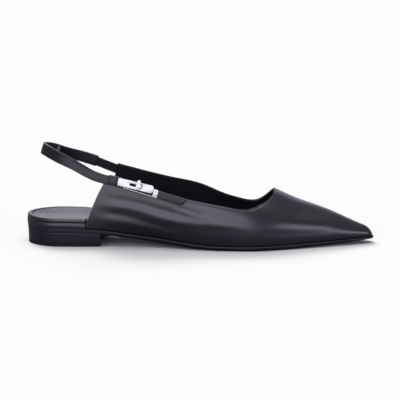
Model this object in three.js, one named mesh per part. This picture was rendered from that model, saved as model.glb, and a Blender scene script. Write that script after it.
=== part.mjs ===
// A woman's pointed sling back flat in black leather, for the right foot, standing empty on its sole.
// Millimetres. +X runs to the toe, +Y to the inner (medial) side and +Z up. The floor is z = 0.
// The origin is on the floor under the middle of the heel. Inside the functions x is counted from the
// back of the heel, and the whole group is moved back by half the heel's length at the end.

import * as THREE from 'three';

// The last and the sole
const shoeLength = 268;      // back of the heel to the tip of the sole
const ballWidth = 76;        // widest part of the sole
const heelHeight = 9.2;      // floor to the underside of the sole at the heel's breast
const heelLength = 60;       // back of the heel to its breast
const heelInset = 0.3;       // heel's top inside the sole's edge, all round
const heelTaper = 0.1;       // how much further in its foot is
const breastHollow = 2.6;    // depth of the curve across the heel's front face
const topLift = 2;           // the rubber piece under the heel
const toeSpring = 3.6;       // rise of the sole at the tip of the toe
const soleThickness = 3.4;
const soleEdgeBevel = 1.2;   // how far the sole's edge is cut back at the bottom
const soleEdgeHeight = 0.45; // height of the bevel, as a share of the sole's thickness
const flatFrom = 0.56;       // the forefoot stands flat between these shares of the length
const flatTo = 0.66;
const fitGap = 0.3;          // between pieces that touch

// The upper
const upperWall = 2;         // leather and lining together
const featherInset = 1;      // upper's lower edge inside the sole's edge
const instepHeight = 110;    // height of the last's ridge above the quarters, where the shoe is open
const throatAlong = 191.6;   // back of the heel to the middle of the throat
const quarterHeight = 58;    // floor to the inner quarter's rear corner
const rearFoot = 47.8;       // back of the heel to where both quarters' rear edges meet the sole
// A quarter's rear corner is at top, from the back of the heel, and at height, a share of quarterHeight.
// bow is how much its rear edge is bowed backwards, as a share of its lean.
const outerRear = { top: 66.5, height: 0.953, bow: 0.28 };
const innerRear = { top: 68.2, height: 0.99, bow: -0.6 };

// The footbed
const boardThickness = 4.6;  // leather covered board that shows round the heel
const boardForward = 2.2;    // the same board under the forefoot
const boardOverhang = 0.4;   // board's edge outside the sole's edge, round the heel
const boardShoulder = 0.6;   // length of the step where the board goes inside the upper
const boardShort = 16;       // board's front end behind the tip of the sole
const sockRim = 2.6;         // thickness of the padded sock at its rim, round the heel
const sockForward = 1.3;     // the same under the forefoot
const sockInset = 0.3;       // sock's edge inside the board's edge
const seatDish = 2.2;        // depth of the heel seat below the rim

// The sling strap
const strapWidth = 8.7;
const strapEndWidth = 6.9;   // where it goes under the hasp plate
const strapTaper = 70;       // length over which it narrows
const strapThickness = 2;
const strapHeight = 72.6;    // floor to the middle of the strap behind the heel
const strapBack = 12.9;      // back of the heel to the middle of the strap behind it
const strapReach = 40.7;     // how far ahead of that the strap's free sides go
const strapSpread = 26;      // half the width of the loop
const strapLean = 0.3;       // how far the strap tips in towards the ankle
const strapTwist = 30;       // length over which the strap turns to lie on a quarter
const strapDip = 0.9;        // its drop from the hasp plate's middle to where it leaves the fold
const gripLength = 36;       // pad inside the strap, along it
const gripWidth = 7;
const gripThickness = 0.8;
const elasticWidth = 7;
const elasticThickness = 1.2;
const elasticDrop = 1;       // elastic's upper edge below the inner quarter's corner

// The clasp, on the outer quarter
const tabWidth = 6.3;
const tabThickness = 1.6;
const tabDrop = 3;           // middle of the tab below the topline
const tabEnd = 125.4;        // front end of the tab, from the back of the heel
const tabSlant = 0.7;        // lean of the tab's cut end
const claspAlong = 88;       // middle of the clasp, from the back of the heel
const baseLength = 27;
const baseWidth = 6.2;
const baseRaise = 0.7;       // middle of the base plate above the middle of the tab
const baseThickness = 1;
const baseBack = 9.5;        // rear end of the base plate behind the clasp's middle
const plateCorner = 0.4;
const hasp = { length: 28, width: 5.8, thickness: 1.1, chamfer: 1.9, raise: 2.6, gap: 0.6, tilt: 3.5 };
const haspBack = 14.3;       // rear end of the hasp plate behind the clasp's middle
const haspTuck = 2.5;        // how far the strap goes under the hasp plate
const postAlong = 2.3;       // turning post ahead of the clasp's middle
const slotWidth = 2.2;
const slotBack = 7.4;        // rear end of the slot behind the post
const neckRadius = 0.65;
const boss = { radius: 2.1, clear: 0.35, lift: 0.4 };
const thumb = { reach: 4.7, width: 2.3, thickness: 1.3, bevel: 0.25, lean: 8 };
const fold = { length: 7.6, width: 6.8, thickness: 1.1, corner: 0.8 };

// Plan of the last. half and centre are shares of the ball's width, along is a share of the length.
const plan = [
  { along: 0.0, half: 0.331, centre: 0.0 },
  { along: 0.12, half: 0.348, centre: -0.003 },
  { along: 0.22, half: 0.325, centre: -0.013 },
  { along: 0.33, half: 0.309, centre: -0.03 },
  { along: 0.42, half: 0.351, centre: -0.039 },
  { along: 0.52, half: 0.438, centre: -0.035 },
  { along: 0.6, half: 0.49, centre: -0.012 },
  { along: 0.672, half: 0.494, centre: 0.0 },
  { along: 0.75, half: 0.432, centre: 0.021 },
  { along: 0.83, half: 0.325, centre: 0.035 },
  { along: 0.9, half: 0.226, centre: 0.04 },
  { along: 0.96, half: 0.132, centre: 0.042 },
  { along: 1.0, half: 0.058, centre: 0.043 },
];
const heelRound = 0.1;       // length of the rounded back, as a share of the shoe
const toeRound = 0.017;      // length of the rounded tip

// Underside of the sole: the arch from behind the heel's breast, 0, to the flat forefoot, 1, as a share
// of heelHeight, and the spring from the forefoot, 0, to the tip, 1, as a share of toeSpring.
const arch = [
  { along: -0.66, rise: 1.16 },
  { along: -0.25, rise: 1.15 },
  { along: -0.11, rise: 1.08 },
  { along: 0.0, rise: 1.0 },
  { along: 0.226, rise: 0.74 },
  { along: 0.423, rise: 0.53 },
  { along: 0.614, rise: 0.31 },
  { along: 0.822, rise: 0.1 },
  { along: 1.0, rise: 0.0 },
];
const spring = [
  { along: -0.1, rise: 0.0 },
  { along: 0.0, rise: 0.0 },
  { along: 0.265, rise: 0.12 },
  { along: 0.53, rise: 0.38 },
  { along: 0.765, rise: 0.66 },
  { along: 1.0, rise: 1.0 },
];
const soleThinning = [
  { along: 0.0, share: 1.0 },
  { along: 0.7, share: 0.94 },
  { along: 0.9, share: 0.68 },
  { along: 1.0, share: 0.5 },
];

// The upper's body above the sole. ridge is a share of instepHeight, swell of ballWidth and belly of
// quarterHeight: the body is widest by swell, at the height belly above the sole.
const body = [
  { along: 0.15, ridge: 1.05, swell: 0.01, belly: 0.2 },
  { along: 0.22, ridge: 1.0, swell: 0.02, belly: 0.224 },
  { along: 0.33, ridge: 0.89, swell: 0.052, belly: 0.25 },
  { along: 0.42, ridge: 0.783, swell: 0.047, belly: 0.258 },
  { along: 0.52, ridge: 0.644, swell: 0.028, belly: 0.25 },
  { along: 0.6, ridge: 0.516, swell: 0.019, belly: 0.22 },
  { along: 0.672, ridge: 0.423, swell: 0.016, belly: 0.19 },
  { along: 0.715, ridge: 0.378, swell: 0.014, belly: 0.172 },
  { along: 0.77, ridge: 0.3165, swell: 0.012, belly: 0.15 },
  { along: 0.83, ridge: 0.2655, swell: 0.01, belly: 0.12 },
  { along: 0.885, ridge: 0.2145, swell: 0.008, belly: 0.09 },
  { along: 0.94, ridge: 0.1545, swell: 0.006, belly: 0.058 },
  { along: 1.0, ridge: 0.096, swell: 0.003, belly: 0.028 },
];
const toeNose = 0.024;       // length over which the toe rounds down to the sole

// Toplines, from the rear corner to the throat. height is a share of quarterHeight; turn is the angle
// round the arch of the vamp, where 90 is its ridge.
const outerTopline = [
  { along: 0.3, height: 0.88 },
  { along: 0.39, height: 0.772 },
  { along: 0.476, height: 0.67 },
  { along: 0.53, height: 0.626 },
  { along: 0.6, height: 0.568 },
  { along: 0.645, height: 0.55 },
  { along: 0.669, turn: 37 },
  { along: 0.6875, turn: 47 },
  { along: 0.703, turn: 60 },
  { along: 0.7125, turn: 75 },
];
const innerTopline = [
  { along: 0.34, height: 0.886 },
  { along: 0.43, height: 0.785 },
  { along: 0.5, height: 0.697 },
  { along: 0.56, height: 0.565 },
  { along: 0.61, height: 0.487 },
  { along: 0.655, height: 0.467 },
  { along: 0.679, turn: 31 },
  { along: 0.694, turn: 43 },
  { along: 0.706, turn: 58 },
  { along: 0.7135, turn: 74 },
];

// The strap's way from the clasp round the heel to the inner quarter. ahead is a share of strapReach,
// side of strapSpread and height of strapHeight.
const slingWay = [
  { ahead: 1.0, side: -0.985, height: 0.771 },
  { ahead: 0.667, side: -0.9, height: 0.868 },
  { ahead: 0.333, side: -0.7, height: 0.944 },
  { ahead: 0.133, side: -0.42, height: 0.985 },
  { ahead: 0, side: 0, height: 1.0 },
  { ahead: 0.133, side: 0.42, height: 0.972 },
  { ahead: 0.333, side: 0.7, height: 0.918 },
  { ahead: 0.667, side: 0.88, height: 0.858 },
  { ahead: 0.947, side: 0.93, height: 0.806 },
];

// Depth of the heel seat along the shoe, as a share of seatDish.
const seat = [
  { along: 0, dish: 0 },
  { along: 0.035, dish: 0.75 },
  { along: 0.1, dish: 1 },
  { along: 0.2, dish: 0.8 },
  { along: 0.34, dish: 0.25 },
  { along: 0.5, dish: 0 },
  { along: 1, dish: 0 },
];

// The sock's rounded rim: out is a share of its half width, up of its thickness.
const roundedRim = [
  { out: 0.97, up: 0.8 },
  { out: 1, up: 0.45 },
  { out: 1, up: 0 },
];

// Curves

/** A natural cubic spline through the rows' own values, straight past its ends. */
function spline(rows, from, to) {
  const n = rows.length;
  const x = rows.map((r) => r[from]);
  const y = rows.map((r) => r[to]);
  const bend = new Array(n).fill(0);
  const carry = new Array(n).fill(0);
  for (let i = 1; i < n - 1; i++) {
    const left = x[i] - x[i - 1];
    const right = x[i + 1] - x[i];
    const pivot = 2 * (left + right) - left * (i > 1 ? carry[i - 1] : 0);
    const pull = 6 * ((y[i + 1] - y[i]) / right - (y[i] - y[i - 1]) / left);
    carry[i] = right / pivot;
    bend[i] = (pull - left * bend[i - 1]) / pivot;
  }
  for (let i = n - 2; i > 0; i--) bend[i] -= carry[i] * bend[i + 1];
  return (at) => {
    let k = 0;
    while (k < n - 2 && at > x[k + 1]) k++;
    const h = x[k + 1] - x[k];
    const chord = (y[k + 1] - y[k]) / h;
    if (at < x[0]) return y[0] + (at - x[0]) * (chord - (h * bend[1]) / 6);
    if (at > x[n - 1]) return y[n - 1] + (at - x[n - 1]) * (chord + (h * bend[n - 2]) / 6);
    const a = (x[k + 1] - at) / h;
    const b = 1 - a;
    return a * y[k] + b * y[k + 1] + (((a ** 3 - a) * bend[k] + (b ** 3 - b) * bend[k + 1]) * h * h) / 6;
  };
}

/** A smooth curve that never swings past its rows, so that a flat stretch stays flat. */
function steady(rows, from, to) {
  const x = rows.map((r) => r[from]);
  const y = rows.map((r) => r[to]);
  const chord = (i) => (y[i + 1] - y[i]) / (x[i + 1] - x[i]);
  const slope = x.map((_, i) => {
    if (i === 0 || i === x.length - 1) return chord(i === 0 ? 0 : i - 1);
    const [a, b] = [chord(i - 1), chord(i)];
    return a * b <= 0 ? 0 : (2 * a * b) / (a + b);
  });
  return (at) => {
    const inside = THREE.MathUtils.clamp(at, x[0], x[x.length - 1]);
    let k = 0;
    while (k < x.length - 2 && inside > x[k + 1]) k++;
    const h = x[k + 1] - x[k];
    const u = (inside - x[k]) / h;
    return y[k] * (1 + 2 * u) * (1 - u) ** 2 + y[k + 1] * u * u * (3 - 2 * u)
      + h * (slope[k] * u * (1 - u) ** 2 - slope[k + 1] * u * u * (1 - u));
  };
}

/** A quarter circle from 0 to 1 over the length reach, then 1. */
function roundOff(distance, reach) {
  const u = THREE.MathUtils.clamp(1 - distance / reach, 0, 1);
  return Math.sqrt(1 - u * u);
}

const mix = THREE.MathUtils.lerp;
const steps = (count, from = 0, to = 1) =>
  Array.from({ length: count + 1 }, (_, i) => from + ((to - from) * i) / count);

const planHalf = spline(plan, 'along', 'half');
const planCentre = spline(plan, 'along', 'centre');
const archRise = steady(arch, 'along', 'rise');
const springRise = steady(spring, 'along', 'rise');
const thinning = steady(soleThinning, 'along', 'share');
const ridgeShare = spline(body, 'along', 'ridge');
const swellShare = spline(body, 'along', 'swell');
const bellyShare = spline(body, 'along', 'belly');

// The last

/** Half the sole's width at x, cut back by inset all round. */
function halfWidth(x, inset = 0) {
  const front = shoeLength - inset;
  return (planHalf(x / shoeLength) * ballWidth - inset)
    * roundOff(x - inset, heelRound * shoeLength) * roundOff(front - x, toeRound * shoeLength);
}
const centreLine = (x) => planCentre(x / shoeLength) * ballWidth;
function soleBottom(x) {
  const [from, to] = [flatFrom * shoeLength, flatTo * shoeLength];
  const rear = heelHeight * archRise((x - heelLength) / (from - heelLength));
  return rear + toeSpring * springRise((x - to) / (shoeLength - to));
}
const soleTop = (x) => soleBottom(x) + soleThickness * thinning(x / shoeLength);

/**
 * A point of the upper's outer face. side is -1 on the outer side and 1 on the inner side. turn is the
 * angle in degrees round the arch, 0 at the widest height and 90 at the ridge, and from 0 to -1 it
 * goes down from the widest height to the sole.
 */
function bodyPoint(side, x, turn) {
  const share = x / shoeLength;
  const tip = shoeLength - featherInset;
  const nose = roundOff(tip - x, toeNose * shoeLength);
  const foot = soleTop(x) + fitGap;
  const ridge = ridgeShare(share) * instepHeight;
  const belly = bellyShare(share) * quarterHeight * nose;
  const crown = (ridge - foot) * nose - belly;
  const feather = halfWidth(x, featherInset);
  const swell = swellShare(share) * ballWidth * nose;
  if (turn < 0) {
    const y = centreLine(x) + side * (feather + swell * (1 - turn * turn));
    return new THREE.Vector3(x, y, foot + belly * (1 + turn));
  }
  const angle = THREE.MathUtils.degToRad(turn);
  return new THREE.Vector3(
    x,
    centreLine(x) + side * (feather + swell) * Math.cos(angle),
    foot + belly + crown * Math.sin(angle),
  );
}

/** The outward normal of the upper's outer face. */
function bodyNormal(side, x, turn) {
  const dx = 0.4;
  const da = turn < 0 ? 0.02 : 1;
  const low = turn < 0 ? Math.max(turn - da, -1) : turn;
  const high = turn < 0 ? Math.min(turn + da, -1e-6) : turn + da;
  const ahead = Math.min(x + dx, shoeLength - featherInset - 0.01);
  const along = bodyPoint(side, ahead, turn).sub(bodyPoint(side, x - dx, turn));
  const up = bodyPoint(side, x, high).sub(bodyPoint(side, x, low));
  return up.cross(along).multiplyScalar(side).normalize();
}

/** The turn at which the body has the height z at x. */
function turnAtHeight(x, z) {
  const low = bodyPoint(1, x, 0).z;
  const high = bodyPoint(1, x, 90).z;
  return THREE.MathUtils.radToDeg(Math.asin(THREE.MathUtils.clamp((z - low) / (high - low), 0, 1)));
}

// Toplines as smooth ways along the shoe and round the arch.
const turnMillimetres = 0.5; // one degree of turn counts as this many millimetres along the edge

function toplineWay(rear, rows) {
  const corner = { along: rear.top / shoeLength, height: rear.height };
  const edge = [corner, ...rows].map((r) => {
    const x = r.along * shoeLength;
    return { x, turn: r.turn ?? turnAtHeight(x, r.height * quarterHeight) };
  });
  const peak = { x: throatAlong, turn: 90 };
  const beyond = edge.slice(-3).reverse().map((e) => ({ x: e.x, turn: 180 - e.turn }));
  const all = [...edge, peak, ...beyond];
  all.forEach((e, i) => {
    const last = all[i - 1];
    e.run = i ? last.run + Math.hypot(e.x - last.x, (e.turn - last.turn) * turnMillimetres) : 0;
  });
  const [xAt, turnAt] = [spline(all, 'run', 'x'), spline(all, 'run', 'turn')];
  return (share) => ({ x: xAt(share * peak.run), turn: turnAt(share * peak.run) });
}
const toplines = {
  [-1]: toplineWay(outerRear, outerTopline),
  [1]: toplineWay(innerRear, innerTopline),
};

/** Height of a quarter's topline at x, behind the throat. */
function toplineHeight(side, x) {
  let [low, high] = [0, 0.75];
  for (let i = 0; i < 24; i++) {
    const middle = (low + high) / 2;
    if (toplines[side](middle).x < x) low = middle;
    else high = middle;
  }
  const at = toplines[side](low);
  return bodyPoint(side, at.x, at.turn).z;
}

/** Where a quarter is at a share of the way from its rear edge to the throat, and of its height. */
function quarterAt(side, share, rise) {
  const top = toplines[side](share);
  const foot = mix(rearFoot, throatAlong, share);
  const { bow } = side < 0 ? outerRear : innerRear;
  const lean = rise - bow * rise * (1 - rise) * (1 - share);
  return { x: mix(foot, top.x, lean), top: top.turn };
}

// Meshes

/** A skin of points and faces that becomes one closed geometry. */
class Skin {
  points = [];
  faces = [];
  add(point) {
    return this.points.push(point) - 1;
  }
  row(points) {
    return points.map((p) => this.add(p));
  }
  quad(a, b, c, d) {
    this.faces.push([a, b, c], [a, c, d]);
  }
  /** Quads between two rows with as many points. */
  strip(first, second) {
    for (let i = 0; i < first.length - 1; i++) this.quad(first[i], first[i + 1], second[i + 1], second[i]);
  }
  geometry() {
    const used = this.faces.filter(([a, b, c]) => a !== b && b !== c && c !== a);
    const spot = this.points;
    const volume = used.reduce((sum, [a, b, c]) => sum + spot[a].dot(spot[b].clone().cross(spot[c])), 0);
    const made = new THREE.BufferGeometry();
    made.setAttribute('position', new THREE.Float32BufferAttribute(spot.flatMap((p) => [p.x, p.y, p.z]), 3));
    made.setIndex(used.flatMap(([a, b, c]) => (volume < 0 ? [a, c, b] : [a, b, c])));
    return made;
  }
}

/** A solid through closed loops with as many points each, with flat ends. */
function loft(loops) {
  const skin = new Skin();
  const rows = loops.map((loop) => skin.row(loop));
  for (let i = 0; i < rows.length - 1; i++) {
    skin.strip([...rows[i], rows[i][0]], [...rows[i + 1], rows[i + 1][0]]);
  }
  [[rows[0], loops[0], 1], [rows.at(-1), loops.at(-1), -1]].forEach(([row, loop, way]) => {
    const middle = loop.reduce((sum, p) => sum.add(p), new THREE.Vector3()).divideScalar(loop.length);
    const hub = skin.add(middle);
    row.forEach((a, i) => {
      const b = row[(i + 1) % row.length];
      skin.faces.push(way > 0 ? [hub, b, a] : [hub, a, b]);
    });
  });
  return skin.geometry();
}

// Materials

const leather = (color, roughness) => new THREE.MeshStandardMaterial({ color, roughness, metalness: 0 });
const blackLeather = leather(0x17171c, 0.4);
const soleLeather = leather(0x1b1c22, 0.5);
const sockLeather = leather(0x3a3b42, 0.38);
const liftRubber = leather(0x101014, 0.75);
const padLeather = leather(0x24252b, 0.8);
const elasticCloth = leather(0x0d0d10, 0.9);
const steel = new THREE.MeshStandardMaterial({ color: 0xd9dade, roughness: 0.18, metalness: 1 });

const shoe = new THREE.Group();
const shifted = new THREE.Group();
shifted.position.x = -heelLength / 2;
shoe.add(shifted);

function addPiece(name, geometry, material, parent = shifted) {
  const mesh = new THREE.Mesh(geometry, material);
  mesh.name = name;
  parent.add(mesh);
  return mesh;
}

// Stations along the whole sole, closer together at the rounded ends.
const crowding = 0.9;
const endFace = 0.12;        // the rounded ends stop this short, at a narrow upright face
const soleStations = (from, to, count) =>
  steps(count).map((u) => mix(from, to, mix(u, (1 - Math.cos(Math.PI * u)) / 2, crowding)));

// Outsole: a thin leather sole from the heel to the toe, its edge cut back below.
function makeOutsole() {
  const across = 5;
  const stations = soleStations(endFace, shoeLength - endFace, 52);
  const bends = [heelLength, flatFrom * shoeLength, flatTo * shoeLength];
  const all = [...stations.filter((x) => bends.every((bend) => Math.abs(x - bend) > 1)), ...bends];
  return loft(all.sort((a, b) => a - b).map((x) => {
    const half = halfWidth(x);
    const bottomHalf = Math.max(half - soleEdgeBevel, half / 2);
    const [top, bottom] = [soleTop(x), soleBottom(x)];
    const edge = mix(bottom, top, soleEdgeHeight);
    const spot = (y, z) => new THREE.Vector3(x, centreLine(x) + y, z);
    return [
      ...steps(across, -half, half).map((y) => spot(y, top)),
      spot(half, edge),
      ...steps(across, bottomHalf, -bottomHalf).map((y) => spot(y, bottom)),
      spot(-half, edge),
    ];
  }));
}
addPiece('outsole', makeOutsole(), soleLeather);

// Heel: a low block with a hollow breast, on a thin rubber top lift.
function heelLoop(height, inset) {
  const back = inset + endFace;
  const corner = heelLength - inset / 2;
  const side = steps(14).map((u) => mix(back, corner, 1 - Math.cos((u * Math.PI) / 2)));
  const edge = (way) => (x) =>
    new THREE.Vector3(x, centreLine(x) + way * halfWidth(x, inset), height(x));
  const breast = steps(7).slice(1, -1).map((u) => {
    const half = halfWidth(corner, inset);
    const x = corner - breastHollow * 4 * u * (1 - u);
    return new THREE.Vector3(x, centreLine(corner) + mix(half, -half, u), height(x));
  });
  return [...side.slice().reverse().map(edge(-1)), ...side.map(edge(1)), ...breast];
}
/** Loops from the level low to the height top(x), each a little further out than the one below. */
const heelLevels = (low, top) => steps(2).map((u) => {
  const out = mix(low, top(heelLength), u) / heelHeight;
  return heelLoop((x) => mix(low, top(x), u), heelInset + heelTaper * (1 - out));
});
addPiece('heel_top_lift', loft(heelLevels(0, () => topLift)), liftRubber);
const heelBlock = loft(heelLevels(topLift + fitGap, (x) => soleBottom(x) - fitGap));
addPiece('heel_block', heelBlock, soleLeather);

// Insole board: it shows as a leather covered band round the heel, and lies inside the upper further on.
const boardStep = [rearFoot - 2 * boardShoulder, rearFoot - boardShoulder];
const thinEnd = 0.4 * shoeLength; // the board and the sock thin out from the step to here
const thinOut = (x) => THREE.MathUtils.smoothstep(x, boardStep[0], thinEnd);
function boardSetIn(x) {
  const inside = featherInset + upperWall + fitGap;
  const place = THREE.MathUtils.clamp(x, ...boardStep);
  return THREE.MathUtils.mapLinear(place, ...boardStep, -boardOverhang, inside);
}
const boardTop = (x) => soleTop(x) + fitGap + mix(boardThickness, boardForward, thinOut(x));

function boardStations(inset) {
  const rest = soleStations(inset + endFace, shoeLength - boardShort, 40)
    .filter((x) => boardStep.every((bend) => Math.abs(x - bend) > 1.5));
  return [...rest, ...boardStep].sort((a, b) => a - b);
}
function makeBoard() {
  return loft(boardStations(-boardOverhang).map((x) => {
    const half = halfWidth(x, boardSetIn(x));
    const spot = (y, z) => new THREE.Vector3(x, centreLine(x) + y, z);
    return [
      ...steps(3, -half, half).map((y) => spot(y, boardTop(x))),
      ...steps(3, half, -half).map((y) => spot(y, soleTop(x) + fitGap)),
    ];
  }));
}
addPiece('insole_board', makeBoard(), blackLeather);

// Footbed: a padded leather sock on the board, with a dished heel seat and a rounded rim.
const dishShare = steady(seat, 'along', 'dish');
function makeFootbed() {
  return loft(boardStations(sockInset - boardOverhang).map((x) => {
    const half = halfWidth(x, boardSetIn(x) + sockInset);
    const under = boardTop(x) + fitGap;
    const rim = mix(sockRim, sockForward, thinOut(x));
    const spot = (u, z) => new THREE.Vector3(x, centreLine(x) + u * half, z);
    const dish = (u) => under + rim - seatDish * dishShare(x / shoeLength) * (1 - u * u) ** 2;
    const edge = (way) => roundedRim.map((r) => spot(way * r.out, under + rim * r.up));
    const top = steps(8, -0.9, 0.9).map((u) => spot(u, dish(u)));
    return [...edge(-1).reverse(), ...top, ...edge(1), spot(0, under)];
  }));
}
addPiece('footbed', makeFootbed(), sockLeather);

// Upper: vamp and both quarters as one hollow wall, open at the throat, behind and underneath.
const footRows = 3;          // rows below the widest height
const archRows = 8;          // rows from there to the topline or the ridge
const openColumns = 34;
const vampColumns = 20;
const toeFill = 13;          // the toe's stiffener fills it ahead of this, from the tip of the sole

/** One column of points from the sole up to the topline or ridge, as {x, turn}. */
function columnTurns(top) {
  return [...steps(footRows, -1, 0).slice(0, -1), ...steps(archRows, 0, top)];
}
function openColumn(side, share) {
  const turns = columnTurns(quarterAt(side, share, 1).top);
  return turns.map((turn, i) => ({ x: quarterAt(side, share, i / (turns.length - 1)).x, turn }));
}
/** Stations from one x to another, closer together near the second. */
function closing(from, to, count, share) {
  return steps(count).slice(1).map((u) => mix(from, to, mix(u, Math.sin((u * Math.PI) / 2), share)));
}

function makeUpper() {
  const skin = new Skin();
  const outer = (side, at) => bodyPoint(side, at.x, at.turn);
  const inner = (side, at) => {
    const point = outer(side, at).addScaledVector(bodyNormal(side, at.x, at.turn), -upperWall);
    return point.setZ(Math.max(point.z, soleTop(point.x) + fitGap));
  };
  const shares = steps(openColumns).slice(0, -1);
  const innerEnd = shoeLength - toeFill;
  const inside = closing(throatAlong, innerEnd, vampColumns, 0.35);
  const beyond = closing(innerEnd, shoeLength - featherInset - endFace / 2, 7, 1);
  const full = columnTurns(90);
  const faces = { outer: {}, inner: {} };

  // Full sections share their ridge point between the two sides.
  const section = (place, x) => {
    const left = full.map((turn) => skin.add(place(-1, { x, turn })));
    const right = full.slice(0, -1).map((turn) => skin.add(place(1, { x, turn })));
    return { [-1]: left, [1]: [...right, left.at(-1)] };
  };
  const vampOuter = [throatAlong, ...inside, ...beyond].map((x) => section(outer, x));
  const vampInner = [throatAlong, ...inside].map((x) => section(inner, x));

  for (const side of [-1, 1]) {
    const columns = shares.map((share) => openColumn(side, share));
    const lay = (place, vamp) => [
      ...columns.map((column) => column.map((at) => skin.add(place(side, at)))),
      ...vamp.map((s) => s[side]),
    ];
    const out = lay(outer, vampOuter);
    const within = lay(inner, vampInner);
    for (let i = 0; i < out.length - 1; i++) {
      if (side < 0) skin.strip(out[i], out[i + 1]);
      else skin.strip(out[i + 1], out[i]);
    }
    for (let i = 0; i < within.length - 1; i++) {
      if (side < 0) skin.strip(within[i + 1], within[i]);
      else skin.strip(within[i], within[i + 1]);
    }
    // The rear edge, the topline and the lower edge join the two faces.
    const join = (a, b) => (side < 0 ? skin.strip(a, b) : skin.strip(b, a));
    join(within[0], out[0]);
    const open = shares.length + 1;
    join(within.slice(0, open).map((c) => c.at(-1)), out.slice(0, open).map((c) => c.at(-1)));
    join(out.slice(0, within.length).map((c) => c[0]), within.map((c) => c[0]));
    faces.outer[side] = out;
    faces.inner[side] = within;
  }

  // The end of the hollow, and the closed underside of the tip ahead of it.
  const last = { [-1]: faces.inner[-1].at(-1), [1]: faces.inner[1].at(-1) };
  for (let j = 0; j < full.length - 1; j++) {
    skin.quad(last[1][j], last[1][j + 1], last[-1][j + 1], last[-1][j]);
  }
  const edge = faces.inner[-1].length - 1;
  const foot = (side, i) => faces.outer[side][i][0];
  skin.faces.push([foot(-1, edge), foot(-1, edge + 1), last[-1][0]]);
  skin.quad(last[-1][0], foot(-1, edge + 1), foot(1, edge + 1), last[1][0]);
  skin.faces.push([last[1][0], foot(1, edge + 1), foot(1, edge)]);
  for (let i = edge + 1; i < faces.outer[-1].length - 1; i++) {
    skin.quad(foot(1, i), foot(-1, i), foot(-1, i + 1), foot(1, i + 1));
  }
  // The very tip is a narrow upright face.
  const tip = { [-1]: faces.outer[-1].at(-1), [1]: faces.outer[1].at(-1) };
  for (let j = 0; j < full.length - 1; j++) {
    skin.quad(tip[-1][j], tip[-1][j + 1], tip[1][j + 1], tip[1][j]);
  }
  return skin.geometry();
}
addPiece('upper', makeUpper(), blackLeather);

// Clasp: a leather tab on the outer quarter carries a steel base plate with a turning post. The strap's
// hasp plate lies over it, with the post's thumb piece turned across its slot.
const tabMiddle = (x) => toplineHeight(-1, x) - tabDrop;
function outerSkin(x, z, out) {
  const turn = turnAtHeight(x, z);
  return bodyPoint(-1, x, turn).addScaledVector(bodyNormal(-1, x, turn), out);
}
const claspFrom = claspAlong - haspBack - fold.length;
const claspTo = claspAlong - baseBack + baseLength;
const claspForward = outerSkin(claspTo, tabMiddle(claspTo), 0)
  .sub(outerSkin(claspFrom, tabMiddle(claspFrom), 0)).normalize();
const claspOut = bodyNormal(-1, claspAlong, turnAtHeight(claspAlong, tabMiddle(claspAlong)));
claspOut.addScaledVector(claspForward, -claspOut.dot(claspForward)).normalize();
const claspUp = claspOut.clone().cross(claspForward).normalize();
const claspOrigin = outerSkin(claspAlong, tabMiddle(claspAlong), 0);
// The flat clasp stands off the curved quarter by as much as the quarter swells behind it.
const standOff = Math.max(0, ...steps(16, claspFrom, claspTo).flatMap((x) => [-1, 0, 1].map((u) =>
  outerSkin(x, tabMiddle(x) + (u * baseWidth) / 2, 0).sub(claspOrigin).dot(claspOut))));
const clasp = new THREE.Group();
const claspPlace = new THREE.Matrix4().makeBasis(claspForward, claspUp, claspOut)
  .setPosition(claspOrigin.clone().addScaledVector(claspOut, standOff));
clasp.applyMatrix4(claspPlace);
shifted.add(clasp);

// The hasp plate hangs on the post, and the strap pulls its rear end down a little.
const haspTurn = new THREE.Matrix4().makeRotationZ(THREE.MathUtils.degToRad(hasp.tilt))
  .setPosition(postAlong, hasp.raise, 0);
const haspPlace = new THREE.Group();
haspPlace.applyMatrix4(haspTurn);
clasp.add(haspPlace);
const haspRear = -haspBack - postAlong;
const strapPoint = (forward, up, out) =>
  new THREE.Vector3(forward, up, out).applyMatrix4(haspTurn).applyMatrix4(claspPlace);

// Heights of the clasp's layers above the quarter.
const tabFace = fitGap + tabThickness;
const baseFace = tabFace + fitGap + baseThickness;
const haspUnder = baseFace + hasp.gap;
const haspFace = haspUnder + hasp.thickness;
const strapMiddle = haspUnder - fitGap - strapThickness / 2;

// Tab: it follows the quarter's skin from under the base plate to its slanted front end.
function makeTab() {
  const across = 4;
  return loft(steps(18).map((u) => {
    const edge = (v) => {
      const x = mix(claspAlong - baseBack + 1, tabEnd + tabSlant * v * tabWidth, u);
      return [x, tabMiddle(x) + v * tabWidth];
    };
    const face = (v, out) => outerSkin(...edge(v), out);
    return [
      ...steps(across, -0.5, 0.5).map((v) => face(v, tabFace)),
      ...steps(across, 0.5, -0.5).map((v) => face(v, fitGap)),
    ];
  }));
}
addPiece('clasp_tab', makeTab(), blackLeather);

/** A bar with its corners cut off, behind by the first chamfer and in front by the second. */
function chamfered(from, to, width, [back, front]) {
  const half = width / 2;
  return new THREE.Shape([
    [from + back, -half], [to - front, -half], [to, front - half], [to, half - front],
    [to - front, half], [from + back, half], [from, half - back], [from, back - half],
  ].map(([x, y]) => new THREE.Vector2(x, y)));
}
const plate = (shape, thickness, under) =>
  new THREE.ExtrudeGeometry(shape, { depth: thickness, bevelEnabled: false, curveSegments: 8 })
    .translate(0, 0, under);

const baseShape = chamfered(-baseBack, baseLength - baseBack, baseWidth, [plateCorner, plateCorner]);
const basePlate = plate(baseShape, baseThickness, tabFace + fitGap).translate(0, baseRaise, 0);
addPiece('base_plate', basePlate, steel, clasp);

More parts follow.
